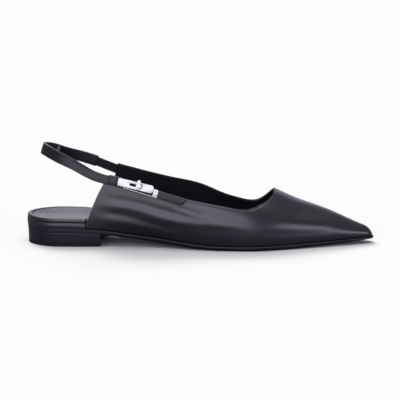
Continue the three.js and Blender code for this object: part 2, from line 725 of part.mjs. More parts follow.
// Hasp plate: its hole is a round one for the post's boss, with a slot to its rear for the thumb.
function keyhole() {
  const half = slotWidth / 2;
  const round = boss.radius + boss.clear;
  const meet = Math.asin(half / round);
  const hole = new THREE.Path();
  hole.absarc(0, 0, round, Math.PI - meet, -Math.PI + meet, true);
  hole.absarc(half - slotBack, 0, half, -Math.PI / 2, Math.PI / 2, true);
  hole.closePath();
  return hole;
}
const haspShape = chamfered(haspRear, haspRear + hasp.length, hasp.width, [plateCorner, hasp.chamfer]);
haspShape.holes.push(keyhole());
addPiece('hasp_plate', plate(haspShape, hasp.thickness, haspUnder), steel, haspPlace);

// Turning post: a thin neck, and a round boss with a thumb piece that points up when the clasp is shut.
function makeToggle() {
  const half = thumb.width / 2;
  const corner = Math.atan2(half, thumb.reach);
  const angles = [...steps(24, corner, 2 * Math.PI - corner).slice(0, -1), -corner, 0];
  const reach = (angle) => {
    const [up, aside] = [Math.cos(angle), Math.abs(Math.sin(angle))];
    const flag = up > 0 ? Math.min(thumb.reach / up, aside > 0 ? half / aside : Infinity) : 0;
    return Math.max(boss.radius, flag);
  };
  const ring = (radius, z) => angles.map((angle) => {
    const r = radius(angle);
    return new THREE.Vector3(-r * Math.sin(angle), r * Math.cos(angle), z);
  });
  const under = haspFace + boss.lift;
  return loft([
    ring(() => neckRadius, baseFace + fitGap),
    ring(() => neckRadius, under),
    ring(reach, under),
    ring(reach, under + thumb.thickness - thumb.bevel),
    ring((angle) => reach(angle) - thumb.bevel, under + thumb.thickness),
  ]);
}
const toggleMesh = addPiece('turn_toggle', makeToggle(), steel, clasp);
toggleMesh.position.set(postAlong, hasp.raise, 0);
toggleMesh.rotation.z = THREE.MathUtils.degToRad(thumb.lean);

// Sling strap: a flat band on a smooth way from under the hasp plate round the heel to the elastic.
const wayPoints = [
  strapPoint(haspRear + haspTuck, 0, strapMiddle),
  strapPoint(haspRear - fold.length, -strapDip, strapMiddle),
  ...slingWay.map((r) =>
    new THREE.Vector3(strapBack + r.ahead * strapReach, r.side * strapSpread, r.height * strapHeight)),
];
const wayRows = wayPoints.map((p) => ({ x: p.x, y: p.y, z: p.z }));
wayRows.forEach((row, i) => {
  row.run = i ? wayRows[i - 1].run + wayPoints[i].distanceTo(wayPoints[i - 1]) : 0;
});
const wayLength = wayRows.at(-1).run;
const [wayX, wayY, wayZ] = ['x', 'y', 'z'].map((axis) => spline(wayRows, 'run', axis));
const wayPoint = (run) => new THREE.Vector3(wayX(run), wayY(run), wayZ(run));
const wayTangent = (run) => wayPoint(run + 0.5).sub(wayPoint(run - 0.5)).normalize();

// The band's own up: the clasp's at one end, the inner quarter's at the other, and between them it
// leans in towards the ankle.
const elasticTop = quarterHeight * innerRear.height - elasticDrop;
const innerSkin = (z) => bodyPoint(1, innerRear.top, turnAtHeight(innerRear.top, z));
const innerUp = innerSkin(elasticTop).sub(innerSkin(elasticTop - elasticWidth)).normalize();
const ankle = new THREE.Vector3(strapSpread * 2, 0, 0);
function wayFrame(run) {
  const along = wayTangent(run);
  const inward = ankle.clone().sub(wayPoint(run)).setZ(0).normalize();
  const free = new THREE.Vector3(0, 0, 1).addScaledVector(inward, strapLean);
  const nearClasp = 1 - THREE.MathUtils.smoothstep(run, fold.length, fold.length + strapTwist);
  const nearElastic = THREE.MathUtils.smoothstep(run, wayLength - strapTwist, wayLength);
  const up = free.lerp(claspUp, nearClasp).lerp(innerUp, nearElastic);
  up.addScaledVector(along, -up.dot(along)).normalize();
  return { along, up, out: up.clone().cross(along) };
}
/** One cross section of a band: its middle is moved outwards by shift. */
function bandLoop(run, width, thickness, shift) {
  const { up, out } = wayFrame(run);
  const round = Math.min(thickness * 0.3, 0.5);
  const middle = wayPoint(run).addScaledVector(out, shift);
  const corner = (w, t) => middle.clone().addScaledVector(up, w).addScaledVector(out, t);
  const [w, t] = [width / 2, thickness / 2];
  return [
    corner(-w, -t + round), corner(-w, t - round), corner(-w + round, t), corner(w - round, t),
    corner(w, t - round), corner(w, -t + round), corner(w - round, -t), corner(-w + round, -t),
  ];
}
const widening = (run) => THREE.MathUtils.smoothstep(run, 0, strapTaper);
const strapWidthAt = (run) => mix(strapEndWidth, strapWidth, widening(run));
addPiece('sling_strap', loft(steps(56, 0, wayLength).map((run) =>
  bandLoop(run, strapWidthAt(run), strapThickness, 0))), blackLeather);

// Heel grip: a thin pad on the strap's inner face behind the heel.
const wayBack = wayRows.reduce((best, row) => (row.x < best.x ? row : best)).run;
const gripShift = -(strapThickness + gripThickness) / 2 - fitGap;
const gripRuns = steps(24, wayBack - gripLength / 2, wayBack + gripLength / 2);
addPiece('heel_grip', loft(gripRuns.map((run) =>
  bandLoop(run, gripWidth, gripThickness, gripShift))), padLeather);

// Fold: the strap's end is turned back over the hasp plate's rear bar and stitched down on itself.
const foldEnd = haspRear - fitGap;
const foldShape = chamfered(foldEnd - fold.length, foldEnd, fold.width, [fold.corner, plateCorner]);
addPiece('strap_fold', plate(foldShape, fold.thickness, haspUnder), blackLeather, haspPlace);

// Elastic: it runs on from the strap's end into the rear edge of the inner quarter.
function rearEdge(side, z) {
  const turns = columnTurns(quarterAt(side, 0, 1).top);
  const at = (rise) => {
    const k = Math.min(Math.floor(rise * (turns.length - 1)), turns.length - 2);
    const turn = mix(turns[k], turns[k + 1], rise * (turns.length - 1) - k);
    return { x: quarterAt(side, 0, rise).x, turn };
  };
  let [low, high] = [0, 1];
  for (let i = 0; i < 24; i++) {
    const middle = at((low + high) / 2);
    if (bodyPoint(side, middle.x, middle.turn).z < z) low = (low + high) / 2;
    else high = (low + high) / 2;
  }
  const { x, turn } = at(low);
  return bodyPoint(side, x, turn).addScaledVector(bodyNormal(side, x, turn), -upperWall / 2);
}
function makeElastic() {
  const [top, bottom] = [rearEdge(1, elasticTop), rearEdge(1, elasticTop - elasticWidth)];
  const seat = top.clone().add(bottom).multiplyScalar(0.5);
  const start = wayPoint(wayLength).addScaledVector(wayTangent(wayLength), fitGap);
  const forward = seat.clone().sub(start).normalize();
  const { up, out } = wayFrame(wayLength);
  const loop = (upper, lower, side) => [
    lower.clone().addScaledVector(side, -elasticThickness / 2),
    lower.clone().addScaledVector(side, elasticThickness / 2),
    upper.clone().addScaledVector(side, elasticThickness / 2),
    upper.clone().addScaledVector(side, -elasticThickness / 2),
  ];
  const first = [0.5, -0.5].map((w) => start.clone().addScaledVector(up, w * elasticWidth));
  const last = [top, bottom].map((p) => p.clone().addScaledVector(forward, -2 * fitGap));
  const across = last[0].clone().sub(last[1]).cross(forward).normalize();
  if (across.dot(out) < 0) across.negate();
  return loft(steps(6).map((u) => loop(
    first[0].clone().lerp(last[0], u),
    first[1].clone().lerp(last[1], u),
    out.clone().lerp(across, u).normalize(),
  )));
}
addPiece('strap_elastic', makeElastic(), elasticCloth);

export default shoe;
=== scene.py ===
# %% [markdown]
# # A pointed sling back flat in black leather
# This lesson dresses one shoe, for the right foot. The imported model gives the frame: where every piece
# of the shoe is, in metres, with the toe along +X, the outer side along -Y and the floor at z = 0.
# We rebuild each piece finely on that frame, give it a finish made of nodes, and light it as in a
# small daylight studio.

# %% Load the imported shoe
import math

import bpy
import numpy as np
from mathutils import Matrix, Vector


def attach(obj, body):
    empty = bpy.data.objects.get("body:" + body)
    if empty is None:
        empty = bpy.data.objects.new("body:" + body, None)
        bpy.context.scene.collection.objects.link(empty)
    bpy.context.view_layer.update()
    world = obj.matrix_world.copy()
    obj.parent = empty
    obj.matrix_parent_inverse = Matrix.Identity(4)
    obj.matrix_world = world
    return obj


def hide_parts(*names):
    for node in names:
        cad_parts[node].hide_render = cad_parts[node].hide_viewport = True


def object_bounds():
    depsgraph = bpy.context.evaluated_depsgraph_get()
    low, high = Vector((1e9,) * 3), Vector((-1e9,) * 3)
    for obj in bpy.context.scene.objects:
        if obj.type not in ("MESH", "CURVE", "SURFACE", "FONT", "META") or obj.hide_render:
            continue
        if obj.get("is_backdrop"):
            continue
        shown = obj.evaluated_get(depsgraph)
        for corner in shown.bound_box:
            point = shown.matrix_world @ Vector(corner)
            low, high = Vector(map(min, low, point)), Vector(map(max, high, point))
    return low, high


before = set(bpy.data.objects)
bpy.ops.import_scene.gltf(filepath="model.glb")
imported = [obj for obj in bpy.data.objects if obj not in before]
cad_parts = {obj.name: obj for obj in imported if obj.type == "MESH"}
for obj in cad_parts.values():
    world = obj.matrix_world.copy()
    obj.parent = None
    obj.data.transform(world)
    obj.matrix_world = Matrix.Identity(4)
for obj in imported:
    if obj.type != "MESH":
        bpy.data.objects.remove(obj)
solid_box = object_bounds()
print("solid pieces:", ", ".join(sorted(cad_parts)))

# %% [markdown]
# ## The camera
# The shoe is seen from its outer side, a little from the front of the side and a little from above,
# with a long lens. The camera leans by a third of a degree, so that the toe rises in the picture.

# %% Place the camera
TARGET = Vector((0.104, 0.0, 0.030))
DISTANCE = 1.5
AZIMUTH, ELEVATION, LEAN = math.radians(4.5), math.radians(10.5), math.radians(0.35)



def toward(azimuth, elevation):
    """The direction from the shoe to a place round it: azimuth 0 is the outer side, in radians."""
    flat = math.cos(elevation)
    return math.sin(azimuth) * flat, -math.cos(azimuth) * flat, math.sin(elevation)


bpy.ops.object.camera_add()
camera = bpy.context.object
camera.name = "camera"
away = Vector(toward(AZIMUTH, ELEVATION))
turn = (-away).to_track_quat("-Z", "Y").to_matrix().to_4x4() @ Matrix.Rotation(-LEAN, 4, "Z")
camera.matrix_world = Matrix.Translation(TARGET + DISTANCE * away) @ turn
camera.data.sensor_width = 36.0
camera.data.lens = 174.7
camera.data.shift_x, camera.data.shift_y = 0.0005, 0.0078
bpy.context.scene.camera = camera
print("camera at", [round(c, 3) for c in camera.location])

# %% [markdown]
# ## The studio
# A pale floor reaches further than the camera sees. The camera sees it white all over, but to every
# other ray it is painted dark up to a hand's width from the shoe: painted shade, which the leather
# mirrors as dark reflections low on its sides. The room has cool windows low in front and at the sides,
# and warm ones overhead and behind. Black leather shows little colour of its own, so what it mirrors of
# this room gives it its shape.

# %% Helpers for nodes and for the selection
def add_node(tree, kind, inputs=None, **settings):
    """Add a node with its settings. Each input is given a plain value, or the socket that feeds it."""
    made = tree.nodes.new("ShaderNode" + kind)
    for name, value in settings.items():
        setattr(made, name, value)
    for name, value in (inputs or {}).items():
        if isinstance(value, bpy.types.NodeSocket):
            tree.links.new(value, made.inputs[name])
        else:
            made.inputs[name].default_value = value
    return made


def object_place(tree):
    """The place of each point in the object's own coordinates."""
    return add_node(tree, "TexCoord").outputs["Object"]


def math_node(tree, operation, first, second):
    """A Math node: each of the two values is a number or a socket."""
    return add_node(tree, "Math", {0: first, 1: second}, operation=operation).outputs[0]


def two_tone(tree, factor, dark, light):
    """A colour between two, by a factor from 0 to 1."""
    made = add_node(tree, "Mix", {0: factor, 6: (*dark, 1), 7: (*light, 1)}, data_type="RGBA")
    return made.outputs[2]


def deselect():
    """Take everything out of the selection, because an operator acts on all that is selected."""
    for thing in bpy.context.selected_objects:
        thing.select_set(False)


def only(piece):
    """Select one piece and make it the active one."""
    deselect()
    piece.select_set(True)
    bpy.context.view_layer.objects.active = piece


# %% Pale floor
# Painted shade: to rays other than camera rays the floor is dark near the shoe, fading out between these two
# places on each axis, in metres.
PAINTED_SHADE_FADES = {"Y": (-0.115, -0.19), "X": (0.27, 0.18)}

deselect()
bpy.ops.mesh.primitive_plane_add(size=16, location=(0, 0, 0))
floor = bpy.context.object
floor.name = "floor"
floor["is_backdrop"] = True
floor_finish = bpy.data.materials.new("pale_floor")
floor_finish.use_nodes = True
boards = floor_finish.node_tree
boards.nodes.remove(boards.nodes["Principled BSDF"])
spot = add_node(boards, "SeparateXYZ", {0: object_place(boards)})
fades = []
for axis, (near, far) in PAINTED_SHADE_FADES.items():
    fade = add_node(boards, "MapRange", {"Value": spot.outputs[axis], "From Min": near, "From Max": far},
                    interpolation_type="SMOOTHSTEP")
    fades.append(fade.outputs["Result"])
painted_shade = math_node(boards, "MULTIPLY", *fades)
# What the leather mirrors of the floor: painted shade near the shoe, pale further off.
mirrored = add_node(boards, "BsdfDiffuse", {
    "Color": two_tone(boards, painted_shade, (0.14, 0.14, 0.18), (0.93, 0.93, 0.98))})
seen_white = add_node(boards, "BsdfDiffuse", {"Color": (0.985, 0.985, 0.955, 1)})
choose = add_node(boards, "MixShader", {
    0: add_node(boards, "LightPath").outputs["Is Camera Ray"],
    1: mirrored.outputs[0],
    2: seen_white.outputs[0],
})
boards.links.new(choose.outputs[0], boards.nodes["Material Output"].inputs["Surface"])
floor.data.materials.append(floor_finish)
print("floor", floor.dimensions[:])

# %% Light of the room
view = bpy.context.scene.view_settings
view.view_transform = "Standard"
view.look = "None"

world = bpy.data.worlds.new("white_room")
bpy.context.scene.world = world
world.use_nodes = True
sky = world.node_tree
sky.nodes.clear()
where = add_node(sky, "TexCoord").outputs["Generated"]
COOL = [
    # centre (azimuth, elevation), inner and outer angle, strength
    ((-16, 11), 20, 36, 1.45),
    ((54, 5), 6, 18, 2.3),
    ((76, 5), 6, 18, 2.3),
    ((180, 14), 5, 18, 0.75),
]
WARM = [
    ((0, 88), 12, 28, 2.6),
    ((208, 46), 8, 20, 8.0),
]


def window(centre, inner, outer, strength):
    """A soft round patch of light: full inside the inner angle, none beyond the outer one."""
    middle = toward(*np.radians(centre))
    dot = add_node(sky, "VectorMath", {0: where, 1: middle}, operation="DOT_PRODUCT")
    patch = add_node(sky, "MapRange", {
        "Value": dot.outputs["Value"],
        "From Min": math.cos(math.radians(outer)),
        "From Max": math.cos(math.radians(inner)),
        "To Max": strength,
    }, interpolation_type="SMOOTHSTEP")
    return patch.outputs["Result"]


def light(windows, base, colour):
    """An even base and some windows added up, in one colour."""
    total = base
    for row in windows:
        total = math_node(sky, "ADD", total, window(*row))
    return add_node(sky, "Background", {"Color": (*colour, 1), "Strength": total}).outputs[0]


room = add_node(sky, "AddShader", {
    0: light(COOL, 0.22, (0.80, 0.82, 1.0)),
    1: light(WARM, 0.0, (1.0, 0.975, 0.94)),
})
backdrop = add_node(sky, "Background", {"Color": (0.97, 0.97, 0.94, 1)})
either = add_node(sky, "MixShader", {
    0: add_node(sky, "LightPath").outputs["Is Camera Ray"],
    1: room.outputs[0],
    2: backdrop.outputs[0],
})
add_node(sky, "OutputWorld", {"Surface": either.outputs[0]})
print("windows:", len(COOL) + len(WARM))

# %% [markdown]
# ## The shoe's own sizes
# The solids were drawn from a short list of sizes and curves. We repeat them here, because the fine
# pieces follow the same curves. Lengths are millimetres, and x is counted from the back of the heel.

# %% Sizes
SHOE_LENGTH, BALL_WIDTH = 268.0, 76.0
HEEL_HEIGHT, HEEL_LENGTH, TOP_LIFT = 9.2, 60.0, 2.0
HEEL_INSET, HEEL_TAPER, BREAST_HOLLOW = 0.3, 0.1, 2.6
TOE_SPRING, SOLE_THICKNESS = 3.6, 3.4
FLAT_FROM, FLAT_TO = 0.56, 0.66
FIT_GAP, UPPER_WALL, FEATHER_INSET = 0.3, 2.0, 1.0
INSTEP_HEIGHT, THROAT_ALONG, QUARTER_HEIGHT, REAR_FOOT = 110.0, 191.6, 58.0, 47.8
REAR = {-1: (66.5, 0.953, 0.28), 1: (68.2, 0.99, -0.6)}  # corner along, height share, bow
BOARD_THICKNESS, BOARD_FORWARD, BOARD_OVERHANG, BOARD_SHORT = 4.6, 2.2, 0.4, 16.0
SOCK_RIM, SOCK_FORWARD, SOCK_INSET, SEAT_DISH = 2.6, 1.3, 0.3, 2.2
HEEL_ROUND, TOE_ROUND, TOE_NOSE = 0.1, 0.017, 0.024

# %% Curves of the last
PLAN = np.array([
    # along, half width, centre line
    (0.0, 0.331, 0.0), (0.12, 0.348, -0.003), (0.22, 0.325, -0.013), (0.33, 0.309, -0.03),
    (0.42, 0.351, -0.039), (0.52, 0.438, -0.035), (0.6, 0.49, -0.012), (0.672, 0.494, 0.0),
    (0.75, 0.432, 0.021), (0.83, 0.325, 0.035), (0.9, 0.226, 0.04), (0.96, 0.132, 0.042),
    (1.0, 0.058, 0.043),
])
ARCH = np.array([
    (-0.66, 1.16), (-0.25, 1.15), (-0.11, 1.08), (0, 1), (0.226, 0.74), (0.423, 0.53), (0.614, 0.31),
    (0.822, 0.1), (1, 0),
])
SPRING = np.array([(-0.1, 0), (0, 0), (0.265, 0.12), (0.53, 0.38), (0.765, 0.66), (1, 1)])
THINNING = np.array([(0, 1), (0.7, 0.94), (0.9, 0.68), (1, 0.5)])
BODY = np.array([
    # along, ridge, swell, belly
    (0.15, 1.05, 0.01, 0.2), (0.22, 1.0, 0.02, 0.224), (0.33, 0.89, 0.052, 0.25),
    (0.42, 0.783, 0.047, 0.258), (0.52, 0.644, 0.028, 0.25), (0.6, 0.516, 0.019, 0.22),
    (0.672, 0.423, 0.016, 0.19), (0.715, 0.378, 0.014, 0.172), (0.77, 0.3165, 0.012, 0.15),
    (0.83, 0.2655, 0.01, 0.12), (0.885, 0.2145, 0.008, 0.09), (0.94, 0.1545, 0.006, 0.058),
    (1.0, 0.096, 0.003, 0.028),
])


def bent(x, y):
    """A draughtsman's spline through the points, straight past its ends."""
    x, y = np.asarray(x, float), np.asarray(y, float)
    h = np.diff(x)
    chord = np.diff(y) / h
    rows = np.eye(len(x))
    pull = np.zeros(len(x))
    for i in range(1, len(x) - 1):
        rows[i, i - 1:i + 2] = h[i - 1], 2 * (h[i - 1] + h[i]), h[i]
        pull[i] = 6 * (chord[i] - chord[i - 1])
    bend = np.linalg.solve(rows, pull)

    def value(at):
        at = np.asarray(at, float)
        k = np.clip(np.searchsorted(x, at, side="right") - 1, 0, len(h) - 1)
        a = (x[k + 1] - at) / h[k]
        b = 1 - a
        inside = a * y[k] + b * y[k + 1]
        inside = inside + ((a**3 - a) * bend[k] + (b**3 - b) * bend[k + 1]) * h[k] ** 2 / 6
        before = y[0] + (at - x[0]) * (chord[0] - h[0] * bend[1] / 6)
        after = y[-1] + (at - x[-1]) * (chord[-1] + h[-1] * bend[-2] / 6)
        return np.where(at < x[0], before, np.where(at > x[-1], after, inside))

    return value


def steady(table):
    """A smooth curve that never swings past its rows, so that a flat stretch stays flat."""
    x, y = table[:, 0], table[:, 1]
    h = np.diff(x)
    chord = np.diff(y) / h
    slope = np.concatenate([[chord[0]], np.zeros(len(x) - 2), [chord[-1]]])
    for i in range(1, len(x) - 1):
        a, b = chord[i - 1], chord[i]
        slope[i] = 0 if a * b <= 0 else 2 * a * b / (a + b)

    def value(at):
        at = np.clip(np.asarray(at, float), x[0], x[-1])
        k = np.clip(np.searchsorted(x, at, side="right") - 1, 0, len(h) - 1)
        u = (at - x[k]) / h[k]
        level = y[k] * (1 + 2 * u) * (1 - u) ** 2 + y[k + 1] * u * u * (3 - 2 * u)
        return level + h[k] * (slope[k] * u * (1 - u) ** 2 - slope[k + 1] * u * u * (1 - u))

    return value


def round_off(distance, reach):
    """A quarter circle from 0 to 1 over the length reach, then 1."""
    u = np.clip(1 - np.asarray(distance, float) / reach, 0, 1)
    return np.sqrt(1 - u * u)


def smoothstep(low, high, x):
    u = np.clip((np.asarray(x, float) - low) / (high - low), 0, 1)
    return u * u * (3 - 2 * u)


def mix(a, b, u):
    return a + (b - a) * u


def run_along(points):
    """The length of the way from the first point to each point."""
    steps = np.linalg.norm(np.diff(points, axis=0), axis=1)
    return np.concatenate([[0], np.cumsum(steps)])


plan_half, plan_centre = bent(PLAN[:, 0], PLAN[:, 1]), bent(PLAN[:, 0], PLAN[:, 2])
arch_rise, spring_rise, thinning = steady(ARCH), steady(SPRING), steady(THINNING)
ridge_share, swell_share, belly_share = (bent(BODY[:, 0], BODY[:, i]) for i in (1, 2, 3))
print("plan rows:", len(PLAN), "body rows:", len(BODY))

# %% Plan and height of the sole
def half_width(x, inset=0.0):
    """Half the sole's width at x, cut back by inset all round."""
    wide = plan_half(x / SHOE_LENGTH) * BALL_WIDTH - inset
    back = round_off(x - inset, HEEL_ROUND * SHOE_LENGTH)
    return wide * back * round_off(SHOE_LENGTH - inset - x, TOE_ROUND * SHOE_LENGTH)


def centre_line(x):
    return plan_centre(x / SHOE_LENGTH) * BALL_WIDTH


def sole_bottom(x):
    start, end = FLAT_FROM * SHOE_LENGTH, FLAT_TO * SHOE_LENGTH
    rear = HEEL_HEIGHT * arch_rise((x - HEEL_LENGTH) / (start - HEEL_LENGTH))
    return rear + TOE_SPRING * spring_rise((x - end) / (SHOE_LENGTH - end))


def sole_top(x):
    return sole_bottom(x) + SOLE_THICKNESS * thinning(x / SHOE_LENGTH)


print("ball half width", round(float(half_width(180.0)), 2), "mm")

# %% Skin of the upper
def body_point(side, x, turn):
    """A point of the upper's outer face: turn is 0 at the widest height, 90 on the ridge, -1 at the sole."""
    share = x / SHOE_LENGTH
    nose = round_off(SHOE_LENGTH - FEATHER_INSET - x, TOE_NOSE * SHOE_LENGTH)
    foot = sole_top(x) + FIT_GAP
    belly = belly_share(share) * QUARTER_HEIGHT * nose
    crown = (ridge_share(share) * INSTEP_HEIGHT - foot) * nose - belly
    feather = half_width(x, FEATHER_INSET)
    swell = swell_share(share) * BALL_WIDTH * nose
    angle = np.radians(np.maximum(turn, 0))
    below = np.minimum(turn, 0)
    out = np.where(turn < 0, feather + swell * (1 - below**2), (feather + swell) * np.cos(angle))
    up = np.where(turn < 0, foot + belly * (1 + below), foot + belly + crown * np.sin(angle))
    return np.stack(np.broadcast_arrays(x, centre_line(x) + side * out, up), -1)


def unit(v):
    return v / np.maximum(np.linalg.norm(v, axis=-1, keepdims=True), 1e-12)


def body_normal(side, x, turn):
    """Outward normal of the upper's outer face."""
    x, turn = np.broadcast_arrays(np.asarray(x, float), np.asarray(turn, float))
    down = turn < 0
    low = np.where(down, np.maximum(turn - 0.02, -1), turn)
    high = np.where(down, np.minimum(turn + 0.02, -1e-6), turn + 1)
    ahead = np.minimum(x + 0.4, SHOE_LENGTH - FEATHER_INSET - 0.01)
    along = body_point(side, ahead, turn) - body_point(side, x - 0.4, turn)
    up = body_point(side, x, high) - body_point(side, x, low)
    return unit(np.cross(up, along) * side)


def turn_at_height(x, z):
    low, high = body_point(1, x, 0.0)[..., 2], body_point(1, x, 90.0)[..., 2]
    return np.degrees(np.arcsin(np.clip((z - low) / (high - low), 0, 1)))


# %% Toplines
OUTER_EDGE = [
    # along, then a height share of the quarter, or a turn round the vamp
    (0.3, 0.88, None), (0.39, 0.772, None), (0.476, 0.67, None), (0.53, 0.626, None),
    (0.6, 0.568, None), (0.645, 0.55, None), (0.672, None, 37), (0.692, None, 47),
    (0.707, None, 60), (0.7145, None, 75),
]
INNER_EDGE = [
    (0.34, 0.886, None), (0.43, 0.785, None), (0.5, 0.697, None), (0.56, 0.565, None),
    (0.61, 0.487, None), (0.655, 0.467, None), (0.679, None, 31), (0.694, None, 43),
    (0.706, None, 58), (0.7135, None, 74),
]


def topline(side, rows):
    """The edge of a quarter as a smooth way: a share of it gives x and turn."""
    top, height, _ = REAR[side]
    edge = [(top / SHOE_LENGTH, height, None), *rows]
    spots = [(a * SHOE_LENGTH, t if h is None else float(turn_at_height(a * SHOE_LENGTH, h * QUARTER_HEIGHT)))
             for a, h, t in edge]
    mirrored = [(x, 180 - t) for x, t in spots[:-4:-1]]
    way = np.array([*spots, (THROAT_ALONG, 90), *mirrored], float)
    run = run_along(way * (1, 0.5))
    x_at, turn_at, peak = bent(run, way[:, 0]), bent(run, way[:, 1]), run[len(spots)]
    return lambda share: (x_at(share * peak), turn_at(share * peak))


TOPLINES = {-1: topline(-1, OUTER_EDGE), 1: topline(1, INNER_EDGE)}


def topline_height(side, x):
    """Height of a quarter's topline at x, behind the throat."""
    low, high = 0.0, 0.75
    for _ in range(24):
        middle = (low + high) / 2
        if TOPLINES[side](middle)[0] < x:
            low = middle
        else:
            high = middle
    at_x, at_turn = TOPLINES[side](low)
    return float(body_point(side, at_x, at_turn)[2])


for side in (-1, 1):
    corner = body_point(side, *TOPLINES[side](0.0))
    print("rear corner of side", side, corner.round(1))

# %% [markdown]
# ## Helpers for laying a grid on a shape
# A shoe's skin can't be pulled out of a cube by hand. What can be done is what a shoemaker does: take
# a flat sheet, here Blender's grid, and lay it on the last row by row.

# %% Lay a grid
MM = 0.001


def to_metres(points):
    """From millimetres counted from the back of the heel to the frame's metres."""
    return (np.asarray(points, float) - (HEEL_LENGTH / 2, 0, 0)) * MM


def named(name):
    """The piece that an operator has just made, with its name."""
    piece = bpy.context.object
    piece.name = piece.data.name = name
    return piece


def lay(piece, points):
    """Put a piece's vertices on points that are given in millimetres."""
    piece.data.vertices.foreach_set("co", to_metres(points).astype(np.float32).ravel())
    piece.data.update()


def edit(piece, *steps):
    """Run operators in edit mode, each on all of the piece's faces."""
    only(piece)
    bpy.ops.object.mode_set(mode="EDIT")
    for step in steps:
        bpy.ops.mesh.select_all(action="SELECT")
        step()
    bpy.ops.object.mode_set(mode="OBJECT")


def merge(distance=1e-6):
    return lambda: bpy.ops.mesh.remove_doubles(threshold=distance)


def outward():
    bpy.ops.mesh.normals_make_consistent(inside=False)


def close_ends():
    bpy.ops.mesh.fill_holes(sides=0)


def laid_grid(name, rows):
    """A grid primitive with its vertices on rows[i][j], in millimetres."""
    rows = np.asarray(rows, float)
    deselect()
    bpy.ops.mesh.primitive_grid_add(
        x_subdivisions=rows.shape[1] - 1, y_subdivisions=rows.shape[0] - 1, size=1)
    piece = named(name)
    lay(piece, rows)
    return piece


def lofted(name, loops):
    """A closed solid through loops of points: the grid is rolled up and its ends are closed."""
    loops = np.asarray(loops, float)
    piece = laid_grid(name, np.concatenate([loops, loops[:, :1]], 1))
    edit(piece, merge(), close_ends, outward)
    return piece


def modifier(piece, kind, **settings):
    """Add a modifier, set it and apply it."""
    only(piece)
    bpy.ops.object.modifier_add(type=kind)
    made = piece.modifiers[-1]
    for name, value in settings.items():
        setattr(made, name, value)
    bpy.ops.object.modifier_apply(modifier=made.name)


def rounded_rims(piece, width, segments=3, angle=50):
    """Round the sharp rims by a bevel, its width in the unit that the piece is drawn in."""
    modifier(piece, "BEVEL", width=width, segments=segments, limit_method="ANGLE",
             angle_limit=math.radians(angle), miter_outer="MITER_ARC", use_clamp_overlap=True)


def finished(piece, finish, replaces=(), body="shoe", smooth=40):
    """Smooth shading, finish and body of a piece that is in place."""
    only(piece)
    bpy.ops.object.shade_smooth_by_angle(angle=math.radians(smooth))
    if finish is not None:
        piece.data.materials.clear()
        piece.data.materials.append(finish)
    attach(piece, body)
    if replaces:
        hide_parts(*replaces)
    piece.data.calc_loop_triangles()
    print(piece.name, len(piece.data.loop_triangles), "triangles,",
          " x ".join(f"{d * 1000:.1f}" for d in piece.dimensions), "mm")
    return piece


def second_finish(piece, finish, chosen):
    """Give another finish to the faces for which chosen(face) holds."""
    piece.data.materials.append(finish)
    for face in piece.data.polygons:
        if chosen(face):
            face.material_index = 1


# %% [markdown]
# ## Finishes
# Every leather has the same kind of grain at its own scale, so the grain is a node group with named
# inputs. A second group lays the faint marks that hands and wear leave. Each finish then has its own
# shader, where the gloss is set.

# %% Grain and handling as node groups
def new_group(name, inputs, outputs):
    """An empty shader group with its sockets, which puts out masks and heights alone."""
    group = bpy.data.node_groups.new(name, "ShaderNodeTree")
    for label, value in inputs.items():
        made = group.interface.new_socket(label, in_out="INPUT", socket_type="NodeSocketFloat")
        made.default_value = value
    for label in outputs:
        group.interface.new_socket(label, in_out="OUTPUT", socket_type="NodeSocketFloat")
    return group, group.nodes.new("NodeGroupInput"), group.nodes.new("NodeGroupOutput")


def noise(tree, place, scale, detail=3.0, rough=0.5):
    """A Noise texture at a place; scale is in turns for each metre."""
    inputs = {"Vector": place, "Scale": scale, "Detail": detail, "Roughness": rough}
    return add_node(tree, "TexNoise", inputs).outputs["Fac"]


def make_grain():
    """Leather grain: small rounded pebbles between fine wrinkles, with pores."""
    group, asked, given = new_group(
        "leather_grain", {"Pebbles per metre": 1500.0, "Wrinkle": 0.5}, ["Height", "Hollows"])
    place, pebbles = object_place(group), asked.outputs["Pebbles per metre"]
    cells = add_node(group, "TexVoronoi", {"Vector": place, "Scale": pebbles, "Smoothness": 0.6},
                     feature="SMOOTH_F1")
    pebble = math_node(group, "SUBTRACT", 1.0, cells.outputs["Distance"])
    coarse = math_node(group, "MULTIPLY", pebbles, 0.22)
    wrinkle = math_node(group, "MULTIPLY", noise(group, place, coarse, 4.0, 0.6), asked.outputs["Wrinkle"])
    group.links.new(math_node(group, "ADD", pebble, wrinkle), given.inputs["Height"])
    hollow = add_node(group, "MapRange", {
        "Value": cells.outputs["Distance"], "From Min": 0.25, "From Max": 0.7})
    group.links.new(hollow.outputs["Result"], given.inputs["Hollows"])
    return group


def make_handling():
    """Faint clouds of handling, from 0 to 1."""
    group, asked, given = new_group("handling_marks", {"Clouds per metre": 30.0}, ["Cloud"])
    cloud = noise(group, object_place(group), asked.outputs["Clouds per metre"], 3.0, 0.55)
    group.links.new(cloud, given.inputs["Cloud"])
    return group


grain_group, handling_group = make_grain(), make_handling()
print("groups:", [g.name for g in bpy.data.node_groups])

# %% A leather finish
def ramp(tree, value, low, high):
    """Turn the middle of a noise into a value between two levels."""
    inputs = {"Value": value, "From Min": 0.3, "From Max": 0.7, "To Min": low, "To Max": high}
    return add_node(tree, "MapRange", inputs).outputs["Result"]


def new_finish(name, values):
    """A material and its shader, with plain values on the shader's own sockets."""
    made = bpy.data.materials.new(name)
    made.use_nodes = True
    shader = made.node_tree.nodes["Principled BSDF"]
    for label, value in values.items():
        shader.inputs[label].default_value = value
    return made, made.node_tree, shader


def feed(tree, shader, **sockets):
    """Link sockets to the shader's inputs of these names."""
    for label, socket in sockets.items():
        tree.links.new(socket, shader.inputs[label.replace("_", " ")])


def bumped(tree, height, depth):
    """The normal that a height gives, for a depth in millimetres."""
    return add_node(tree, "Bump", {"Height": height, "Distance": depth * MM}).outputs["Normal"]


